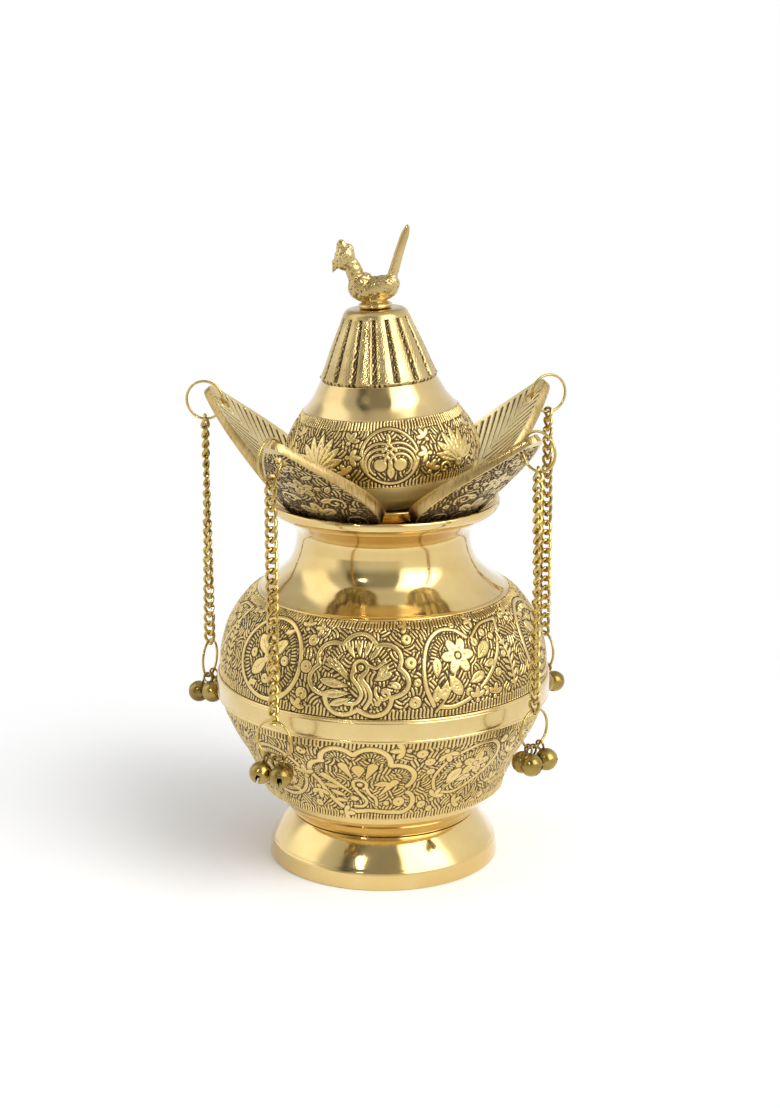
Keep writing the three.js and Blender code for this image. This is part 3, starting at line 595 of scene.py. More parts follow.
def engravedShell(piece, start, columns):
    # a sector of a turned wall: the outer profile pushed in by the depth of the cuts,
    # and a plain inner wall parallel to it
    plate, closed = piece["plate"]["height"], piece["closed"]
    rows, period = plate.shape
    outer = evenly(np.asarray(piece["profile"], dtype=float), rows)
    normals = profileNormals(outer)
    inner = (outer - normals * piece["wall"])[np.linspace(rows - 1, 0, 6).astype(int)]
    inner[0, 1], inner[-1, 1] = outer[-1, 1], outer[0, 1]
    spots = np.arange(start, start + columns + (0 if closed else 1))
    height = plate[:, spots % period]
    angle = np.radians(piece["from"] + spots * piece["step"])[None, :]
    depth = piece["depth"] * (1 - height)
    depth[0], depth[-1] = 0, 0
    loops = [aroundAxis(outer[:, :1] - normals[:, :1] * depth, outer[:, 1:] - normals[:, 1:] * depth, angle)]
    # patina in the cuts, scaled per piece; on the lower bowl the scale is lowered as painted light
    patinaAndShade = [piece.get("patinaAndLight", 1) * (1 - height)]
    above = piece.get("above")
    if above is not None:
        loops.append(aroundAxis(above[:, :1], above[:, 1:], angle))
        patinaAndShade.append(np.zeros((len(above), len(spots))))
        inner = np.vstack([above[-1:] - [piece["wall"], 0], inner])
    loops.append(aroundAxis(inner[:, :1], inner[:, 1:], angle))
    patinaAndShade.append(np.full((len(inner), len(spots)), 0.5))
    points = np.vstack(loops)
    if piece.get("leaning"):
        points = leaned(points)
    total, across = points.shape[:2]
    faces = gridFaces(total, across, closeRows=True, closeColumns=closed)
    if not closed:
        faces.append([i * across for i in range(total)])
        faces.append([i * across + across - 1 for i in reversed(range(total))])
    return buildMesh(piece["name"], points.reshape(-1, 3), faces, "engraved_brass", piece["body"],
                     piece.get("replaced"), patinaAndShadeLayer=np.vstack(patinaAndShade), sharp=70)


# Pot: foot
footFlank = throughPoints([[42.1, 7.4], [39.37, 11.62], [36.4, 15.44], [34.6, 17.4]], 16)
foot = {
    "name": "turned_foot", "body": "pot", "replaced": "foot", "finish": "polished_turned_brass", "ease": 0.8,
    "profile": [[43.6, 0], [43.5, 1.2], [42.7, 6.3], [42.3, 6.9], *footFlank.tolist(), [26.1, 17.4],
                [26.1, 15.2], [32.4, 15.2], [37.0, 11.0], [40.2, 6.6], [41.4, 0]],
}
turnedPiece(foot)

# Pot: floor and collar of the lower bowl. The collar is a plain neck with a step out
# to the engraved part.
collar = {
    "name": "bowl_collar", "body": "pot", "replaced": "lower_bowl", "finish": "polished_turned_brass",
    "ease": 0.5,
    "profile": [[0, 17.6], [34.6, 17.6], [36.2, 19.6], [37.7, 22.2], [39.3, 23.4], [40.6, 25.2],
                [41.1, 27.6], [42.6, 28.2], [44.6, 28.2], [44.0, 29.4], [41.2, 30.2], [36.0, 24.4],
                [32.4, 20.2], [0, 19.9]],
}
turnedPiece(collar)

# Pot: hoop round the belly, with a fine groove near each edge
hoop = {
    "name": "belly_hoop", "body": "pot", "replaced": "belly_band", "finish": "brushed_turned_brass",
    "ease": 0.45,
    "profile": [[59.1, 63.7], [62.1, 63.7], [62.55, 64.2], [62.55, 64.7], [62.3, 64.95], [62.55, 65.2],
                [62.6, 66.5], [62.6, 70.2], [62.55, 71.4], [62.3, 71.65], [62.55, 71.9], [62.5, 72.4],
                [62.1, 72.8], [59.1, 72.8]],
}
turnedPiece(hoop)

# Pot: neck and rim, with an inner wall inside the neck's curve
neckOuter = throughPoints([[46.2, 105.0], [40.05, 109.53], [34.68, 115.42], [32.3, 123.4], [33.85, 129.48],
                           [41.85, 134.94], [43.4, 137.8]], 44)
neckWall = [[max(r - 2.2, 30.1), z - 0.6] for r, z in neckOuter[2:-3:3]][::-1]
neck = {
    "name": "turned_neck", "body": "pot", "finish": "polished_turned_brass", "ease": 0.4,
    "profile": [[46.9, 104.45], [46.9, 105.0], *neckOuter[1:].tolist(), [43.2, 138.7], [42.8, 139],
                [42.3, 139], [41.1, 137.1], [38.6, 134.5], *[p for p in neckWall if p[0] < 38],
                [44.2, 103.6], [46.3, 103.4]],
}
turnedPiece(neck)
print("plain parts of the pot made")

# Motifs of the pot, in mm from their own middles. Peacock: a lobed frame with hatching
# inside it, a ringed head, a bent neck and a fan of tail feathers.
peacock = (
    lobes(0, -0.6, 15.2, 12.0, 7, 3.2, 0.78)
    + rays(throughPoints([[-14.4, 2], [-9.6, 10], [0, 13.2], [9.6, 10], [14.4, 2]], 40), 2.3, gap=1.4,
           towards=(0, -3))
    + rays(throughPoints([[14.6, -3], [11.4, -9], [6, -12]], 20), 1.9, gap=1.4, towards=(2, -3))
    + arc(0.8, 2.2, 2.5, -70, 215, 0.62) + dot(0.8, 2.2, 1.0, False)
    + line([[-1.7, 2.0], [-2.1, -1.4], [0.2, -4.4], [1.3, -7.4], [-0.6, -10.2], [-4.2, -10.6]], 0.66)
    + line([[2.6, 0.6], [1.4, -1.8], [3.5, -4.6], [4.6, -8.2], [2.6, -12]], 0.66)
    + line([[0.5, -0.4], [0.0, -1.8], [2.0, -4.8], [3.0, -7.8], [1.6, -10.6]], 0.34)
    + line([[3.4, 3.2], [6.4, 2.2], [9.6, 4.6]], 0.5)
    + each(petal, (6.4, -1.8, 50, 6.6, 2.6), (5.2, -2.2, 20, 7.4, 2.4), (-2.6, -1.0, 150, 11.6, 2.6),
           (-3.2, -2.8, 130, 10.4, 2.3), (-2.8, -4.6, 172, 11.4, 2.9), (-2.4, -6.8, 186, 10.8, 2.9),
           (-2.0, -8.6, 200, 8.6, 2.4), (-1.4, 5.2, 124, 6.0, 1.7), (0.4, 5.6, 100, 6.4, 1.7),
           (2.2, 5.4, 76, 6.2, 1.7), (3.8, 4.6, 50, 6.0, 1.7))
    + spiral(9.2, -6.4, 3.2, 150, 1.1, 0.5) + dot(6.9, -10.2, 1.0) + petal(11.2, -2.6, -30, 4.4, 2.2)
    + line([[-1.8, -11.2], [-2.4, -13.6]])
)
medallion = (
    arc(0, 0, 14.2, 0, 360, 0.75) + rays(arc(0, 0, 13.4, 0, 340)[0][0], 1.6, gap=1.35)
    + each(petal, *[(0, 0, turn, 9.5, 4.4) for turn in (45, 135, 225, 315)])
    + each(dot, (0, 7.4, 1.7), (0, -7.4, 1.7), (7.6, 0, 1.7), (-7.6, 0, 1.7), (0, 0, 1.9))
    + each(petal, (3.4, 9, 20, 5.2, 1.8), (-3.4, 9, 160, 5.2, 1.8), (3.4, -9, -20, 5.2, 1.8),
           (-3.4, -9, 200, 5.2, 1.8))
)
# Spray: a flower and leaves in a pointed frame
spray = (
    line([[-9.4, -12.8], [-12, -6], [-12.2, 2], [-9.6, 9.4], [-4, 13.6], [2.6, 13.4], [7.4, 9.8]], 0.7)
    + line([[26, 14], [22, 5.6], [15.6, -3.4], [7.4, -10.4], [-1, -13.8], [-6.6, -13.6]], 0.7)
    + line([[26, 14], [16.4, 13.4], [9.6, 9.2]], 0.5)
    + rays(throughPoints([[-11, 3], [-8.8, 8.6], [-3.8, 12.6], [2.4, 12.6], [6.2, 9.8]], 30), 1.8, gap=1.4,
           towards=(0, 2))
    + flower(1.6, 3.8, 6.6, 6, 60, 3.7)
    + each(petal, (-7.8, -3.4, 84, 7.2, 3.4), (-7.6, -5.4, 262, 6.2, 3.0), (-3.2, -2.4, 300, 8.8, 4.2),
           (-3.8, -4.2, 250, 7.0, 3.2), (4.6, -6.4, 20, 7.2, 3.6), (9.6, 1.2, 40, 8.4, 4.4),
           (11.8, -1.6, 10, 5.4, 2.6))
    + each(dot, (10.4, 7.4, 1.6), (15.6, 10.2, 1.5), (4.4, -9.6, 1.5), (19.4, 8.2, 1.3))
    + line([[0.6, 1.4], [-1.4, -4], [-4.6, -10.2], [-8.6, -15]], 0.45)
)
# Lotus: a frame of five lobes, each x, y, radius, start and end angle, closed below by
# a line, with a ringed head, a bent neck and blunt petals in it
lotusLobes = [(-13.4, 4.4, 6.2, 230, 92), (-7.8, 11.3, 6.2, 184, 36), (3.4, 11.2, 6.6, 146, -6),
              (11.8, 3.2, 6.8, 102, -46), (13.8, -9.8, 5.6, 58, -112)]
lotus = each(arc, *[lobe + (0.92,) for lobe in lotusLobes])
lotus += line([[-17.5, -0.6], [-14.6, -7.2], [-10.2, -12.6], [-4.6, -15.0], [2.0, -14.4], [7.4, -15.0],
               [11.8, -15.2]], 0.92)
for x, y, radius, start, end in lotusLobes[:4]:
    inside = arc(x, y, radius - 0.95, start - 12, end + 12)[0][0]
    lotus += rays(inside, 1.5, gap=1.3, thick=np.array([0.3, 0.16]), towards=(x, y))
lotus += (
    each(wedge, (-3.9, 2.6, 112, 7.0, 3.2), (1.4, 2.6, 68, 7.0, 3.4), (-1.2, 3.6, 90, 3.8, 4.4),
         (-4.8, -5.8, 139, 12.6, 3.0), (6.0, -6.4, 51, 9.0, 3.0))
    + arc(-1.3, -1.1, 2.6, -60, 240, 0.6) + dot(-1.3, -1.1, 1.05, False)
    + line([[-3.5, -3.0], [-1.6, -6.2], [0.8, -9.4], [-0.6, -12.2], [-4.2, -12.4]], 0.6)
    + line([[1.2, -3.2], [2.2, -5.8], [4.4, -8.2], [4.8, -11.6]], 0.6)
    + each(petal, (-2.0, -8.8, 172, 3.6, 2.4, False), (-7.0, -7.6, 160, 6.6, 2.0, False),
           (-6.6, -10.2, 172, 5.4, 1.8, False), (-8.8, -3.4, 172, 6.6, 2.2), (3.6, -1.0, 10, 6.2, 2.6))
    + each(dot, (13.6, -9.8, 2.3), (8.6, -10.4, 1.2))
)
vine = (
    line([[-11.5, -8], [-13, 0], [-9, 8], [-1, 12.6], [7, 13.2], [11.6, 8], [10.4, 1], [5, -5], [-3, -9.4]],
         0.62, closed=True)
    + rays(throughPoints([[-11.5, 1], [-8.2, 7], [-1, 11.4], [6.5, 11.8], [10, 7.6]], 30), 1.7,
           towards=(-1, 1))
    + flower(2.6, 3.6, 5.6, 5, 80, 3.4) + each(petal, (-7.4, -4.8, 62, 8.4, 4.6), (-3.4, -4.4, 20, 6.2, 2.6))
    + each(dot, (-4.6, 4.6, 1.2), (7.4, 0.8, 1.1)) + line([[-8, -6.4], [-3, -2.4], [1.2, 0.4]], 0.36)
)

# Pot: engraved lower bowl, in a front and a back half; its pattern comes three times
lowerProfile = throughPoints([[45.71, 29.0], [46.4, 31.6], [51.47, 42.72], [56.58, 51.76], [60.1, 59.5],
                              [61.0, 63.5]], 60)
lowerPlate = makePlate(480, 132, 113.1, 38.6, degrees=120)
drawGround(lowerPlate)
drawFringe(lowerPlate, 0.2, 2.2)
drawFringe(lowerPlate, 35.9, 2.4)
engraveAt(lowerPlate, lotus, -8.0, 18.4)
engraveAt(lowerPlate, vine, 34, 20.4, size=1.02)
engraveAt(lowerPlate, medallion, -45, 18.6, size=0.84)
scatter(
    lowerPlate,
    [(13.6, 33.4, 1.9), (16.8, 29, 1.8), (17.8, 23.8, 1.5), (16.6, 6.4, 1.8), (20.6, 3.8, 1.4),
     (47.6, 33, 1.7), (49, 4.6, 1.7), (54, 30.4, 1.5), (-30, 32.6, 1.8), (-29.4, 5.4, 1.6), (-59, 31, 1.7)],
    [(23, 32.4, -70), (21.6, 9.4, 60), (52.4, 10.6, 110), (-31.6, 20, 90), (-27.4, 13, -90), (54, 24, 60),
     (7.6, 35.4, 180), (-18, 2.2, 0), (32, 4.2, 30)])
halfTurn = 720  # columns of a plate that go half way round the pot
# the lower bowl keeps real patina in its cuts, weakened to 0.84 as painted light for the bright floor that
# it reflects
lower = {
    "name": "engraved_lower_bowl_front", "body": "pot", "plate": lowerPlate, "depth": 0.36, "patinaAndLight": 0.84,
    "profile": lowerProfile, "wall": 2.2, "step": 0.25, "from": -60, "closed": False,
}
engravedShell(lower, -120, halfTurn)
engravedShell(lower | {"name": "engraved_lower_bowl_back"}, halfTurn - 120, halfTurn)
print("lower bowl engraved")

# Pot: engraved shoulder
shoulderProfile = throughPoints([[61.7, 73], [60.98, 82.1], [57.93, 92.15], [51.7, 101.26],
                                 [47.2, 104.4]], 60)
upperPlate = makePlate(480, 132, 125.7, 35.6, degrees=120)
drawGround(upperPlate)
drawFringe(upperPlate, 0.2, 2.4)
drawFringe(upperPlate, 32.6, 2.6)
engraveAt(upperPlate, peacock, -8.6, 15.8)
engraveAt(upperPlate, spray, 26, 16.8)
engraveAt(upperPlate, medallion, -44.6, 17.0, size=1.06)
engraveAt(upperPlate, feather(22, 4.4, 8), 51, 4.2, angle=8)
scatter(
    upperPlate,
    [(-27.2, 26.4, 2.1), (-27.8, 16.6, 2.2), (-28.6, 7.0, 2.2), (8.8, 28.2, 2.0), (9.6, 19.6, 2.2),
     (10.6, 5.6, 2.1), (11.6, 12.6, 1.4), (37, 6.4, 1.7), (43.4, 11.8, 1.5), (47.6, 17.6, 1.3),
     (28.6, 32.0, 1.3), (55.6, 31, 1.5)],
    [(-24, 31, 180), (33.4, 4.6, 90), (41, 4.4, 80), (38, 33, 200), (9.6, 33.2, 170), (-31.4, 31, 100),
     (-59.6, 31, 120), (-31, 1.8, 60)], size=0.8)
shoulder = {
    "name": "engraved_shoulder_front", "body": "pot", "plate": upperPlate, "depth": 0.42,
    "profile": shoulderProfile, "wall": 2.2, "step": 0.25, "from": -60, "closed": False,
    "replaced": "upper_bowl",
}
engravedShell(shoulder, -120, halfTurn)
engravedShell(shoulder | {"name": "engraved_shoulder_back", "replaced": None}, halfTurn - 120, halfTurn)
print("shoulder engraved")

# Lid: cup under the leaves
cup = {
    "name": "leaf_cup_turned", "body": "lid", "replaced": "leaf_cup", "finish": "polished_turned_brass",
    "ease": 0.5,
    "profile": [[4.5, 117.4], [18.4, 117.4], [21.2, 121.4], [25.4, 128.9], [29.2, 136.4], [29.2, 139.7],
                [27.2, 139.7], [27.2, 137.2], [19.4, 122.2], [17.2, 119.4], [4.5, 119.4]],
}
turnedPiece(cup)

# Lid: the coconut's plain underside
coconutUnder = throughPoints([[10, 135.55], [20.46, 138.25], [28.43, 142.9], [33.16, 147.55],
                              [34.9, 150.2]], 24)
underWall = [[r - 1.4, z + 1.5] for r, z in coconutUnder[1:-2:3]][::-1]
under = {
    "name": "coconut_underside", "body": "lid", "replaced": "coconut_lower", "leaning": True, "ease": 0.3,
    "finish": "scoured_leaning_brass",
    "profile": [[2.7, 135.4], [9, 135.4], *coconutUnder.tolist(), [32.9, 150.2], *underWall, [2.7, 137.4]],
}
turnedPiece(under)

# Lid: the coconut's engraved band with the polished band above it. A ringed pair of
# paisleys and a fan of petals come four times round it.
paisley = arc(0, 0, 10.1, 0, 360, 0.5)
for sign in (-1, 1):
    half = dot(3.5, -3.2, 2.2, False)
    half += each(arc, (3.5, -3.2, 3.9, -60, 190), (3.3, -2.6, 5.3, -30, 170), (3.1, -1.8, 6.5, -5, 148, 0.4))
    paisley += moved(half, 0, 0, flip=sign)
paisley += each(petal, (0, -8.6, 90, 4.6, 2.6), (0, 3.6, 90, 4.8, 1.6))
fan = each(petal, *[(0, -6, 90 + 22 * i, 13.2 - 0.5 * abs(i) ** 1.5, 2.7) for i in range(-3, 4)])
fan += dot(0, -6.6, 1.5) + each(spiral, (-6.6, -7.4, 2.4, 0, 1.1, 0.4), (6.6, -7.4, 2.4, 180, 1.1, 0.4, -1))
bodyProfile = throughPoints([[34.9, 150.4], [35.9, 156.5], [35.1, 161.7], [32.6, 166.9], [28.4, 173]], 40)
coconutPlate = makePlate(200, 96, 53.4, 24.3, degrees=90)
drawGround(coconutPlate, cell=3.6, gap=1.3)
drawFringe(coconutPlate, 0.1, 2.0, gap=1.335, lean=0.1)
drawFringe(coconutPlate, 21.2, 2.7, gap=1.335, lean=0.1)
engraveAt(coconutPlate, paisley, 4.8, 11.4)
engraveAt(coconutPlate, fan, -40, 12.0)
scatter(coconutPlate, [], [(-20, 17, 60), (-21, 5, 120), (29, 17, 120), (29, 5, 60), (-19, 11, 0),
                           (28, 11, 180)], size=0.8)
polishedBand = throughPoints([[27.8, 173.5], [24.85, 177.07], [22.8, 180.8], [21, 184]], 12)
coconut = {
    "name": "engraved_coconut", "body": "lid", "replaced": "coconut_body", "plate": coconutPlate,
    "depth": 0.4, "profile": bodyProfile, "wall": 2.0, "step": 0.45, "from": -45, "closed": True,
    "leaning": True, "above": np.vstack([[[28.2, 173.05]], polishedBand]),
}
roundCoconut = 800  # columns all the way round
coconutBody = engravedShell(coconut, 0, roundCoconut).data
coconutBody.materials.append(finishes["polished_leaning_brass"])
rowOf = np.arange(len(coconutBody.polygons)) // roundCoconut
bandFrom = len(coconutPlate["height"])
isBand = (rowOf >= bandFrom) & (rowOf < bandFrom + len(coconut["above"]) - 1)
coconutBody.polygons.foreach_set("material_index", isBand.astype(np.int32))

# Lid: the fluted crown. Its radius follows the profile less a groove at each flute,
# with a rough stepped lower edge.
crown = {
    "flutes": 16, "turned": 0.67, "columns": 640, "depth": 0.85,
    "profile": throughPoints([[21.2, 184.9], [19.75, 188.2], [17.3, 194.4], [15.1, 199.6], [13.2, 203.8],
                              [12.1, 206.6]], 84),
    "edge": [(21.1, 183.95), (21.3, 184.3), (21.3, 184.65)],
    "inside": [(11.75, 207.5), (11.2, 208.3), (10.4, 208.9), (9.2, 209.2), (2.7, 209.2), (2.7, 205.2),
               (8.0, 205.0), (12.8, 197), (16.2, 190), (19.0, 183.9)],
}
crownRows = len(crown["profile"])
angle = fullTurn(crown["columns"])[None, :]
turn = (angle * crown["flutes"] / (2 * math.pi) + crown["turned"]) % 1
share = np.linspace(0, 1, crownRows)[:, None]
ridge = fadeIn(np.abs(turn - 0.5), 0.04, 0.19)
fade = fadeIn(share, 0.0, 0.04) * (1 - fadeIn(share, 0.965, 1.0))
# cast pits: crossing waves of about a millimetre with random phases
pitted = np.zeros((crownRows, angle.size))
for wave in range(12):
    pitted += np.sin(angle * chance.integers(60, 150) + share * chance.uniform(-150, 150)
                     + chance.uniform(0, 6.28))
pitted /= 4
cut = (crown["depth"] + 0.1 * pitted) * (1 - ridge) + 0.03 * pitted - 0.12 * np.cos(turn * 2 * math.pi)
rough = 0.24 * np.sin(angle * 38 + 4 * np.sin(angle * 7)) + 0.2 * np.sin(angle * 61 + 3 * np.sin(angle * 11))
loops = [aroundAxis(r + rough * 0.5, z + rough, angle) for r, z in crown["edge"]]
loops.append(aroundAxis(crown["profile"][:, :1] - cut * fade, crown["profile"][:, 1:], angle))
loops += [aroundAxis(np.full_like(angle, r), z, angle) for r, z in crown["inside"]]
points = leaned(np.vstack([loop.reshape(-1, crown["columns"], 3) for loop in loops]))
patinaAndShade = np.zeros(points.shape[:2])
patinaAndShade[:3] = 0.5 + rough
patinaAndShade[3:3 + crownRows] = np.clip((0.62 + 0.2 * pitted) * (1 - ridge) * fade + 0.2 + 0.22 * pitted, 0, 0.9)
buildMesh("fluted_crown", points.reshape(-1, 3), gridFaces(len(points), crown["columns"], closeRows=True),
          "cast_brass", "lid", "coconut_crown", patinaAndShadeLayer=patinaAndShade, sharp=60)
print("coconut made")


def joinedMesh(name, parts):
    # one mesh of several closed shells
    points, faces, start = [], [], 0
    for part, quads in parts:
        points.append(part)
        faces += [[k + start for k in quad] for quad in quads]
        start += len(part)
    mesh = bpy.data.meshes.new(name)
    mesh.from_pydata(np.vstack(points).tolist(), [], faces)
    return mesh


def ellipsoid(middle, radii, pitch=0, rows=20, columns=28):
    # the sphere's rows and columns scaled by three radii and pitched about Y
    tilt = np.linspace(-math.pi / 2, math.pi / 2, rows)[:, None]
    ball = aroundAxis(np.maximum(np.cos(tilt), 0.004), np.sin(tilt), fullTurn(columns)[None, :])
    ball = (ball * radii).reshape(-1, 3)
    x, z = spun(ball[:, 0], ball[:, 2], -math.radians(pitch))
    return np.stack([x, ball[:, 1], z], axis=1) + middle, gridFaces(rows, columns, caps=True)


def loft(sections):
    # closed loops of equal length joined in order and capped
    return np.vstack(sections), gridFaces(len(sections), len(sections[0]), caps=True)


def applied(mesh, kind, **settings):
    # the mesh with one modifier applied
    holder = addObject("working", mesh)
    modifier = holder.modifiers.new("step", kind)
    for key, value in settings.items():
        setattr(modifier, key, value)
    bpy.context.view_layer.update()
    made = bpy.data.meshes.new_from_object(holder.evaluated_get(bpy.context.evaluated_depsgraph_get()))
    bpy.data.objects.remove(holder)
    return made


def cutBy(mesh, parts):
    for part in parts:
        cutter = addObject("tool", joinedMesh("tool", [part]))
        mesh = applied(mesh, "BOOLEAN", operation="DIFFERENCE", object=cutter, solver="MANIFOLD")
        bpy.data.objects.remove(cutter)
    return mesh


# Lid: the bird, in mm above its collar. It faces left, its tail stands up.
birdFoot = 211.2
ring = fullTurn(20)
tailPath = throughPoints([[5.6, 6.4], [7.4, 11.4], [9.2, 16.8], [11.2, 22.2], [13.2, 27.4]], 12)
tailSections = []
for i, (x, z) in enumerate(tailPath):
    part = i / 12
    point = max(0, part - 0.85) * 5
    halfLong = 2.1 - 0.6 * part - 1.2 * point
    halfThick = 1.5 - 0.5 * part - 0.5 * point
    tailSections.append(np.stack([x + halfLong * 0.9 * np.cos(ring), halfThick * np.sin(ring),
                                  z - halfLong * 0.34 * np.cos(ring)], axis=1))
beakSections = []
for part in np.linspace(0, 1, 8):
    middle = np.array([-12.9 - 1.1 * part, 0, 16.6 - 4.6 * part])
    wide, deep = 1.9 * (1 - 0.5 * part), 1.7 * (1 - 0.65 * part)
    loop = np.stack([wide * np.cos(ring), deep * np.sin(ring), 0.7 * np.cos(ring)], axis=1)
    beakSections.append(middle + loop)
birdParts = {  # middle, radii and pitch
    "body": [(0.0, 0, 4.6), (8.8, 5.0, 4.8), -4], "breast": [(-5.0, 0, 6.0), (4.6, 4.3, 5.0), 14],
    "neck": [(-6.9, 0, 11.2), (3.1, 2.8, 6.2), -16], "nape": [(-3.6, 0, 8.2), (3.2, 2.6, 2.6), -35],
    "head": [(-10.2, 0, 16.6), (3.8, 3.2, 4.7), 10], "crest": [(-11.2, 0, 20.4), (1.9, 1.3, 3.0), 4],
    "crestBack": [(-9.0, 0, 19.2), (2.3, 1.4, 2.6), 26],
    "rightWing": [(1.8, 3.7, 5.9), (6.0, 1.8, 3.2), -14],
    "leftWing": [(1.8, -3.7, 5.9), (6.0, 1.8, 3.2), -14],
    "rightEye": [(-11.6, 2.7, 17.4), (0.8, 0.6, 0.8)], "leftEye": [(-11.6, -2.7, 17.4), (0.8, 0.6, 0.8)],
    "rump": [(5.8, 0, 6.8), (3.6, 3.1, 3.0), 20], "foot": [(0, 0, 0.9), (4.4, 4.0, 1.6)],
}
birdShells = [ellipsoid(*part) for part in birdParts.values()] + [loft(tailSections), loft(beakSections)]
bird = applied(joinedMesh("bird_rough", birdShells), "REMESH", mode="VOXEL", voxel_size=0.26)
bird = applied(bird, "SMOOTH", factor=0.5, iterations=6)
at, out = readEach(bird.vertices, "co", 3), readEach(bird.vertex_normals, "vector", 3)
# rough cast feathers: the sum of sixteen waves 0.9 to 2 mm long that cross at random,
# with slanting barbs on the wings, and one line down each side of a plain tail
rough = np.zeros(len(at))
for wave in range(16):
    way = unit(chance.normal(size=3))
    rough += np.sin(at @ way * 2 * math.pi / chance.uniform(0.9, 2) + chance.uniform(0, 6.28))
rough /= 3.2
barbs = np.sin((at[:, 2] + 0.7 * at[:, 0] + 0.25 * rough) * 3.6)
tailShare = fadeIn(at[:, 2], 9.5, 13) * (at[:, 0] > 2)
wingShare = fadeIn(np.abs(at[:, 1]), 3.2, 4.2) * (at[:, 0] > -3.5) * (at[:, 2] < 10.5)
tailMiddle = np.interp(at[:, 2], tailPath[:, 1], tailPath[:, 0])
tailLine = np.exp(-((at[:, 0] - tailMiddle) / 0.4) ** 2) * (at[:, 2] < 26)
pattern = rough * (1 - tailShare) * (1 - wingShare) + (0.5 * barbs + 0.5 * rough) * wingShare
pattern += tailShare * (0.12 * rough - 0.45 * tailLine)
onBody = fadeIn(at[:, 2], 1.2, 2.8)
at = at + out * (0.07 * pattern * onBody)[:, None]
bird.vertices.foreach_set("co", (leaned(at + [0, 0, birdFoot]) / 1000).ravel())
setLayer(bird, "patinaAndShadeLayer", np.clip(0.18 - 0.3 * pattern, 0, 0.6) * onBody)
finishPiece("cast_bird", bird, "cast_brass", "lid", "bird_finial", sharp=180)
knob = {
    "name": "bird_collar", "body": "lid", "finish": "polished_leaning_brass", "leaning": True, "ease": 0.5,
    "profile": [[2.7, 209.4], [5.7, 209.4], [6.3, 210.0], [6.2, 210.8], [5.2, 211.4], [4.0, 211.9],
                [2.7, 211.9]],
}
turnedPiece(knob)
print("bird made")

# Leaves. s runs from a leaf's foot to its tip, v across it; the back is depth 0.
leaf = {
    "length": 63.0, "widest": 20.911, "widestAt": 16.0, "footHalf": 7.5, "footHeight": 127.4,
    "thickFoot": 5.2, "thickTip": 2.8, "hollowRadius": 52.0, "rows": 208,
    "backColumns": 106, "hollowColumns": 136, "holeFromTip": 8.756, "holeRadius": 2.3,
}
leafPlaces = [  # degrees from the front, degrees up, how far out the foot is in mm
    {"azimuth": -31.7, "tilt": 43.6, "foot": 27.944}, {"azimuth": 47.2, "tilt": 43.4, "foot": 27.921},
    {"azimuth": 115.9, "tilt": 49.6, "foot": 28.700}, {"azimuth": 184, "tilt": 47.5, "foot": 28.394},
    {"azimuth": 252.2, "tilt": 48.6, "foot": 28.556},
]
leafLength = leaf["length"]
holeAt = leafLength - leaf["holeFromTip"]

# Back of a leaf, engraved with flowers and scrolls within a plain border
leafPlate = makePlate(150, 190, 42.0, leafLength)
leafMiddle = leafPlate["wide"] / 2
drawGround(leafPlate)
engrave(leafPlate, moved(flower(0, 0, 8.2, 6, 90, 4.6), leafMiddle, 19))
engrave(leafPlate, moved(flower(0, 0, 5.4, 5, 90, 3.4), leafMiddle, 37)
        + moved(flower(0, 0, 3.6, 5, 90, 2.4), leafMiddle, 50))
scrolls = (
    each(spiral, (12, 15, 4.4, -60, 1.4, 0.5), (9.4, 27.5, 3.8, -60, 1.3, 0.5))
    + each(petal, (3, 28, 20, 6.5, 2.6), (4, 10, -20, 7, 2.8), (2, 43, 20, 6.4, 2.2), (3, 5, 10, 6, 2.4))
    + each(dot, (14, 22.5, 1.4), (6.5, 37, 1.3)) + petal(8.5, 33.5, 60, 5.5, 2.2)
)
for sign in (-1, 1):
    engrave(leafPlate, moved(scrolls, leafMiddle, 0, flip=sign))


def leafHalf(s):
    # half width: a quarter sine up to the widest place, then a bulging taper, rounded at the tip
    widest, widestAt, foot = leaf["widest"], leaf["widestAt"], leaf["footHalf"]
    share = (s - widestAt) / (leafLength - widestAt)
    start = foot + (widest - foot) * np.sin(np.clip(s / widestAt, 0, 1) * math.pi / 2)
    taper = widest * (1 - np.clip(share, 0, 1) ** 1.62) + 2.2 * share
    tip = np.sqrt(np.clip(1 - np.clip((s - leafLength + 2.4) / 2.4, 0, 1) ** 2, 0.0004, 1))
    return np.where(s < widestAt, start, taper) * tip


def hollowRelief(s, v, half):
    # cuts that slant forward from the midrib, one each 5 mm along the leaf, each a wedge
    # that is widest at the border; the midrib, the border and the hole's rim are plain
    slant, pitch = 1.75, 5.0
    row = (s - slant * np.abs(v) + slant * leaf["widest"]) / pitch
    squeeze = pitch / math.hypot(1, slant)
    opened = 0.05 + 0.27 * fadeIn(np.abs(v) / half, 0.1, 0.8)
    deep = 1 - fadeIn(np.abs(row - np.round(row)) * squeeze, opened, opened + 0.3)
    inside = fadeIn(half - np.abs(v), 1.5, 1.8) * fadeIn(s, 6, 6.5) * (s < leafLength - 3.6)
    inside *= fadeIn(np.hypot(s - holeAt, v), 2.9, 3.2)
    return 1 - deep * inside * fadeIn(np.abs(v), 0.45, 0.75)


def leafPoints(place, s, v, lift):
    # from the leaf's own s, v and lift to the pot's frame
    out, up = spun(s, lift, math.radians(place["tilt"]))
    x, y = spun(v, -place["foot"] - out, math.radians(place["azimuth"]))
    return np.stack([x, y, leaf["footHeight"] + up], axis=-1) / 1000


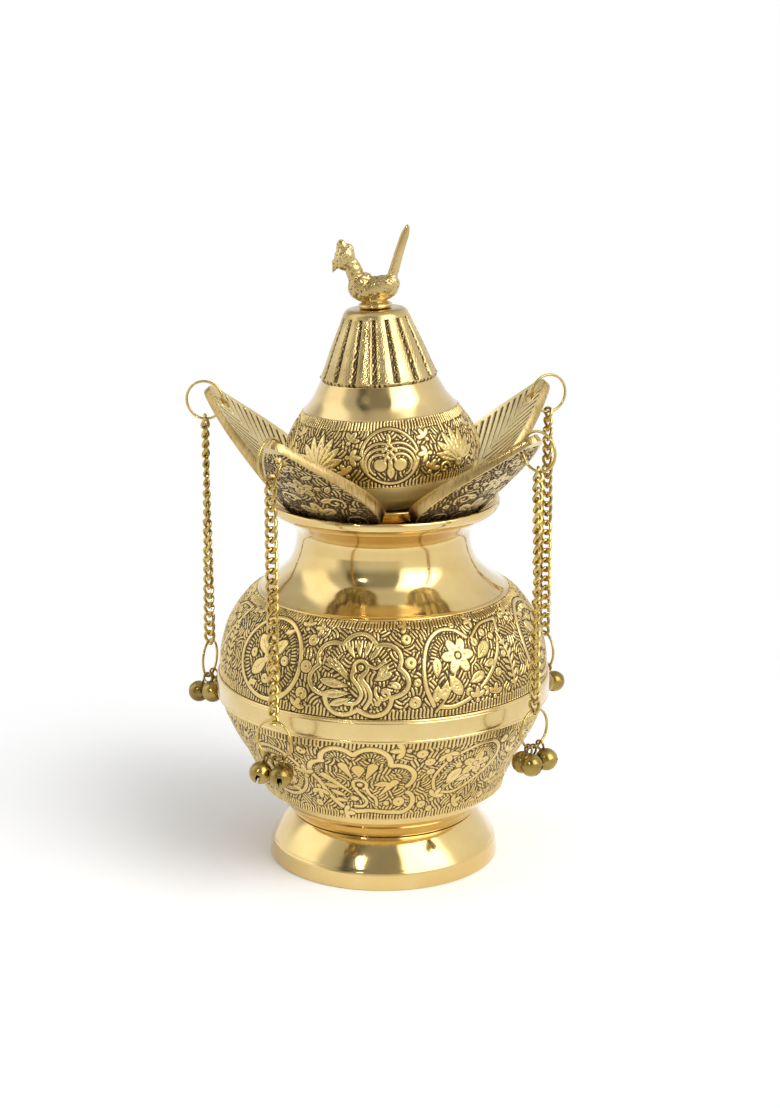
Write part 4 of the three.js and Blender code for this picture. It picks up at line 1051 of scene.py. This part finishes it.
def leafPiece(number, place):
    # each row goes once round the leaf: engraved back, filed edge, veined hollow, filed edge
    s = np.linspace(0, leafLength - 2.6, leaf["rows"])
    s = np.concatenate([s, leafLength - 2.4 + 2.4 * np.sin(np.linspace(0, math.pi / 2, 12))])[:, None]
    half = leafHalf(s)
    thick = leaf["thickFoot"] + (leaf["thickTip"] - leaf["thickFoot"]) * s / leafLength
    v = half * np.linspace(-1, 1, leaf["backColumns"])[None, :]
    border = np.clip((half - np.abs(v) - 0.7) / 0.4, 0, 1) * np.clip((s - 2) / 0.5, 0, 1)
    border = border * (s < leafLength - 4)
    height = leafPlate["height"]
    rows = np.clip((s / leafLength * (height.shape[0] - 1)).astype(int), 0, height.shape[0] - 1)
    columns = np.clip(((v + leafMiddle) / leafPlate["du"]).astype(int), 0, height.shape[1] - 1)
    cut = (1 - height[np.broadcast_to(rows, v.shape), columns]) * border
    w = half * np.linspace(1, -1, leaf["hollowColumns"])[None, :]
    vein = 1 - hollowRelief(s, w, half)
    edge = np.linspace(0, 1, 8)[1:-1][None, :]
    bow = half + 0.25 * np.sin(edge * math.pi) * np.minimum(half, 1)
    # painted shade: the back of the leaf darkens towards its foot, under the coconut, with half the patina
    # colour at the foot
    footShade = 0.5 * (1 - fadeIn(s, 4, 38))
    parts = [(v, 0.4 * cut, 1.15 * cut + 0.08 + footShade), (bow, thick * edge, 0 * s * edge),
             (w, thick - 0.45 * vein, 0.04 + 0.86 * vein), (-bow, thick * (1 - edge), 0 * s * edge)]
    v, depth, patinaAndShade = (np.hstack([part[i] for part in parts]) for i in range(3))
    filed = np.hstack([np.full(part[0].shape, i % 2) for i, part in enumerate(parts)])
    points = leafPoints(place, s, v, depth + v * v / (2 * leaf["hollowRadius"]))
    mesh = joinedMesh("leaf", [(points.reshape(-1, 3), gridFaces(*v.shape, caps=True))])
    setLayer(mesh, "patinaAndShadeLayer", patinaAndShade)
    setLayer(mesh, "filed", filed)
    u, w = leaf["holeRadius"] * np.cos(ring), leaf["holeRadius"] * np.sin(ring)
    mesh = cutBy(mesh, [loft([leafPoints(place, holeAt + u, w, 1.4 + along) for along in (-8, 8)])])
    onEdge = readEach(mesh.attributes["filed"].data, "value")
    corners = readEach(mesh.loops, "vertex_index", kind=np.int32)
    starts = readEach(mesh.polygons, "loop_start", kind=np.int32)
    isEdge = np.maximum.reduceat(onEdge[corners], starts) > 0.5
    mesh.attributes.remove(mesh.attributes["filed"])
    finishPiece(f"mango_leaf_{number}", mesh, "cast_leaf_brass", "lid", f"leaf_{number}", sharp=50)
    mesh.materials.append(finishes["filed_brass"])
    mesh.polygons.foreach_set("material_index", isEdge.astype(np.int32))


for i, place in enumerate(leafPlaces):
    leafPiece(i + 1, place)
print("leaves made")


def wireLoop(path, thick, sides=10):
    # a round wire along a closed path
    along = unit(np.roll(path, -1, axis=0) - np.roll(path, 1, axis=0))
    outward = path - path.mean(axis=0)
    outward = unit(outward - (outward * along).sum(axis=1)[:, None] * along)
    side = np.cross(along, outward)
    angle = fullTurn(sides)
    thick = np.broadcast_to(thick, (len(path),))[:, None, None]
    points = path[:, None, :] + thick * (outward[:, None, :] * np.cos(angle)[None, :, None]
                                         - side[:, None, :] * np.sin(angle)[None, :, None])
    return points.reshape(-1, 3), gridFaces(len(path), sides, closeRows=True)


# Rings, chains and bells: sizes in mm, radius of a ring to the middle of its wire
hanging = {
    "ring": 7.2, "ringWire": 0.5, "links": 24, "pitch": 3.7, "halfLink": (1.72, 0.72, 2.48),
    "linkWire": 0.64, "ball": 4.1, "ballInside": 3.55, "seam": 0.28, "halfSlit": 0.42, "hole": 0.95,
    "holeAt": 3.35, "eyeWire": 0.42, "eyeHalf": 1.55, "peaToMiddle": 1.2175,
}


def ringPiece(name, middle, across, joinAt):
    # a bent wire ring, slightly out of round, with a nick where its ends meet
    angle = fullTurn(96)
    size = hanging["ring"] * (1 + 0.012 * np.cos(2 * angle + 0.6))
    path = middle + (size * np.cos(angle))[:, None] * across + (size * np.sin(angle))[:, None] * [0, 0, 1.0]
    gap = np.abs((angle - joinAt + math.pi) % (2 * math.pi) - math.pi)
    points, faces = wireLoop(path, hanging["ringWire"] * np.clip(0.55 + gap * 9, 0, 1), 12)
    buildMesh(f"wire_{name}", points, faces, "drawn_brass_wire", name, name)


def chainPiece(number, top, turn):
    # curb links: each a flat oval whose two ends twist opposite ways, the whole chain
    # turning a quarter on its way down
    angle, links = fullTurn(30), hanging["links"]
    wide, deep, high = hanging["halfLink"]
    x, y, z = wide * np.sin(angle), deep * np.sin(2 * angle), high * np.cos(angle)
    parts = []
    for i in range(links):
        spin = turn + math.pi / 2 * i / (links - 1) + 0.09 * math.sin(i * 1.9 + number)
        link = np.stack([*spun(x, y, spin), z], axis=1) + top - [0, 0, 0.95 + hanging["pitch"] * i]
        parts.append(wireLoop(link, hanging["linkWire"], 8))
    points = np.vstack([part[0] for part in parts])
    faces = [[k + i * len(parts[0][0]) for k in quad] for i, part in enumerate(parts) for quad in part[1]]
    name = f"chain_{number}"
    buildMesh(f"curb_{name}", points, faces, "drawn_brass_wire", name, name)


def jointPoint(name):
    return np.array(joints[name]["pos_m"]) * 1000


# A bell's ball: a shell with a thin seam round its middle, a slit below and a round
# hole at each end of the slit
outerBall = ellipsoid((0, 0, 0), [hanging["ball"]] * 3, rows=41, columns=56)
seam = np.exp(-(outerBall[0][:, 2] / hanging["seam"]) ** 2)
outerBall[0][:, :2] *= (1 + 0.028 * seam)[:, None]
innerBall = ellipsoid((0, 0, 0), [hanging["ballInside"]] * 3, rows=21, columns=28)
half = hanging["halfSlit"]
slit = loft([np.array([[-7, -half, z], [7, -half, z], [7, half, z], [-7, half, z]]) for z in (-5.5, -1.3)])
holes = []
for x in (-hanging["holeAt"], hanging["holeAt"]):
    disc = np.stack([x + hanging["hole"] * np.cos(ring), hanging["hole"] * np.sin(ring), 0 * ring], axis=1)
    holes.append(loft([disc + [0, 0, -5.0], disc + [0, 0, -0.9]]))
ballMesh = cutBy(joinedMesh("ball", [outerBall]), [innerBall, slit, *holes])
ballPoints = readEach(ballMesh.vertices, "co", 3)
ballFaces = [list(polygon.vertices) for polygon in ballMesh.polygons]


def bellPiece(side, number, turn):
    # the ball hangs from its hook towards its pea, its eye goes over the ring's wire
    name = f"bell_{side}_{number}"
    hook = jointPoint(f"{name}_swing")
    low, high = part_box(f"pea_{side}_{number}")
    middle = np.array((low + high) / 2) * 1000 + [0, 0, hanging["peaToMiddle"]]
    up = unit(hook - middle)
    reach = np.linalg.norm(hook - middle)
    along = unit(np.cross([math.cos(turn + 0.5), math.sin(turn + 0.5), 0], up))
    ball = middle + ballPoints @ np.stack([along, np.cross(up, along), up])
    radial = np.array([math.sin(turn), -math.cos(turn), 0])
    radial = unit(radial - radial.dot(up) * up)
    eyeTop, eyeFoot = 1.2, reach - 3.9
    long, angle = (eyeTop + eyeFoot) / 2, fullTurn(36)[:, None]
    path = hook + up * (eyeTop - long) + long * np.cos(angle) * up
    path += hanging["eyeHalf"] * np.sin(angle) * radial
    eye, eyeFaces = wireLoop(path, hanging["eyeWire"], 8)
    faces = ballFaces + [[k + len(ball) for k in quad] for quad in eyeFaces]
    # painted shade: the outside of the ball darkens towards the bottom, and the inside of the ball is
    # darkened fully
    inside = np.linalg.norm(ballPoints, axis=1) < 3.9
    patinaAndShade = np.where(inside, 1.0, np.clip(-ballPoints[:, 2] / 12, 0, 0.3))
    buildMesh(f"round_{name}", np.vstack([ball, eye]), faces, "pressed_bell_brass", name, name,
              patinaAndShadeLayer=np.concatenate([patinaAndShade, np.zeros(len(eye))]), sharp=42)


for i, place in enumerate(leafPlaces):
    number, turn = i + 1, math.radians(place["azimuth"])
    radial = np.array([math.sin(turn), -math.cos(turn), 0])
    sideways = np.array([math.cos(turn), math.sin(turn), 0])
    up = np.array([0, 0, hanging["ring"]])
    top = jointPoint(f"chain_{number}_swing")
    ringPiece(f"tip_ring_{number}", top + up, radial, 0.9)
    chainPiece(number, top, turn)
    ringPiece(f"bell_ring_{number}", jointPoint(f"bell_ring_{number}_swing") - up, sideways, 2.4)
    for side in ("left", "right", "low"):
        bellPiece(side, number, turn)
print("rings, chains and bells made")

# CAD pieces that stay: the bolt and the peas
for name, piece in frame["nodes"].items():
    if name == "lid_bolt" or name.startswith("pea_"):
        piece.data.materials.clear()
        piece.data.materials.append(finishes["plain_steel"])

floorMesh = bpy.data.meshes.new("paper_floor")
floorMesh.from_pydata([(5 * math.cos(a), 5 * math.sin(a), 0) for a in fullTurn(96)], [], [list(range(96))])
floorMesh.materials.append(floorPaint)
addObject("paper_floor", floorMesh)
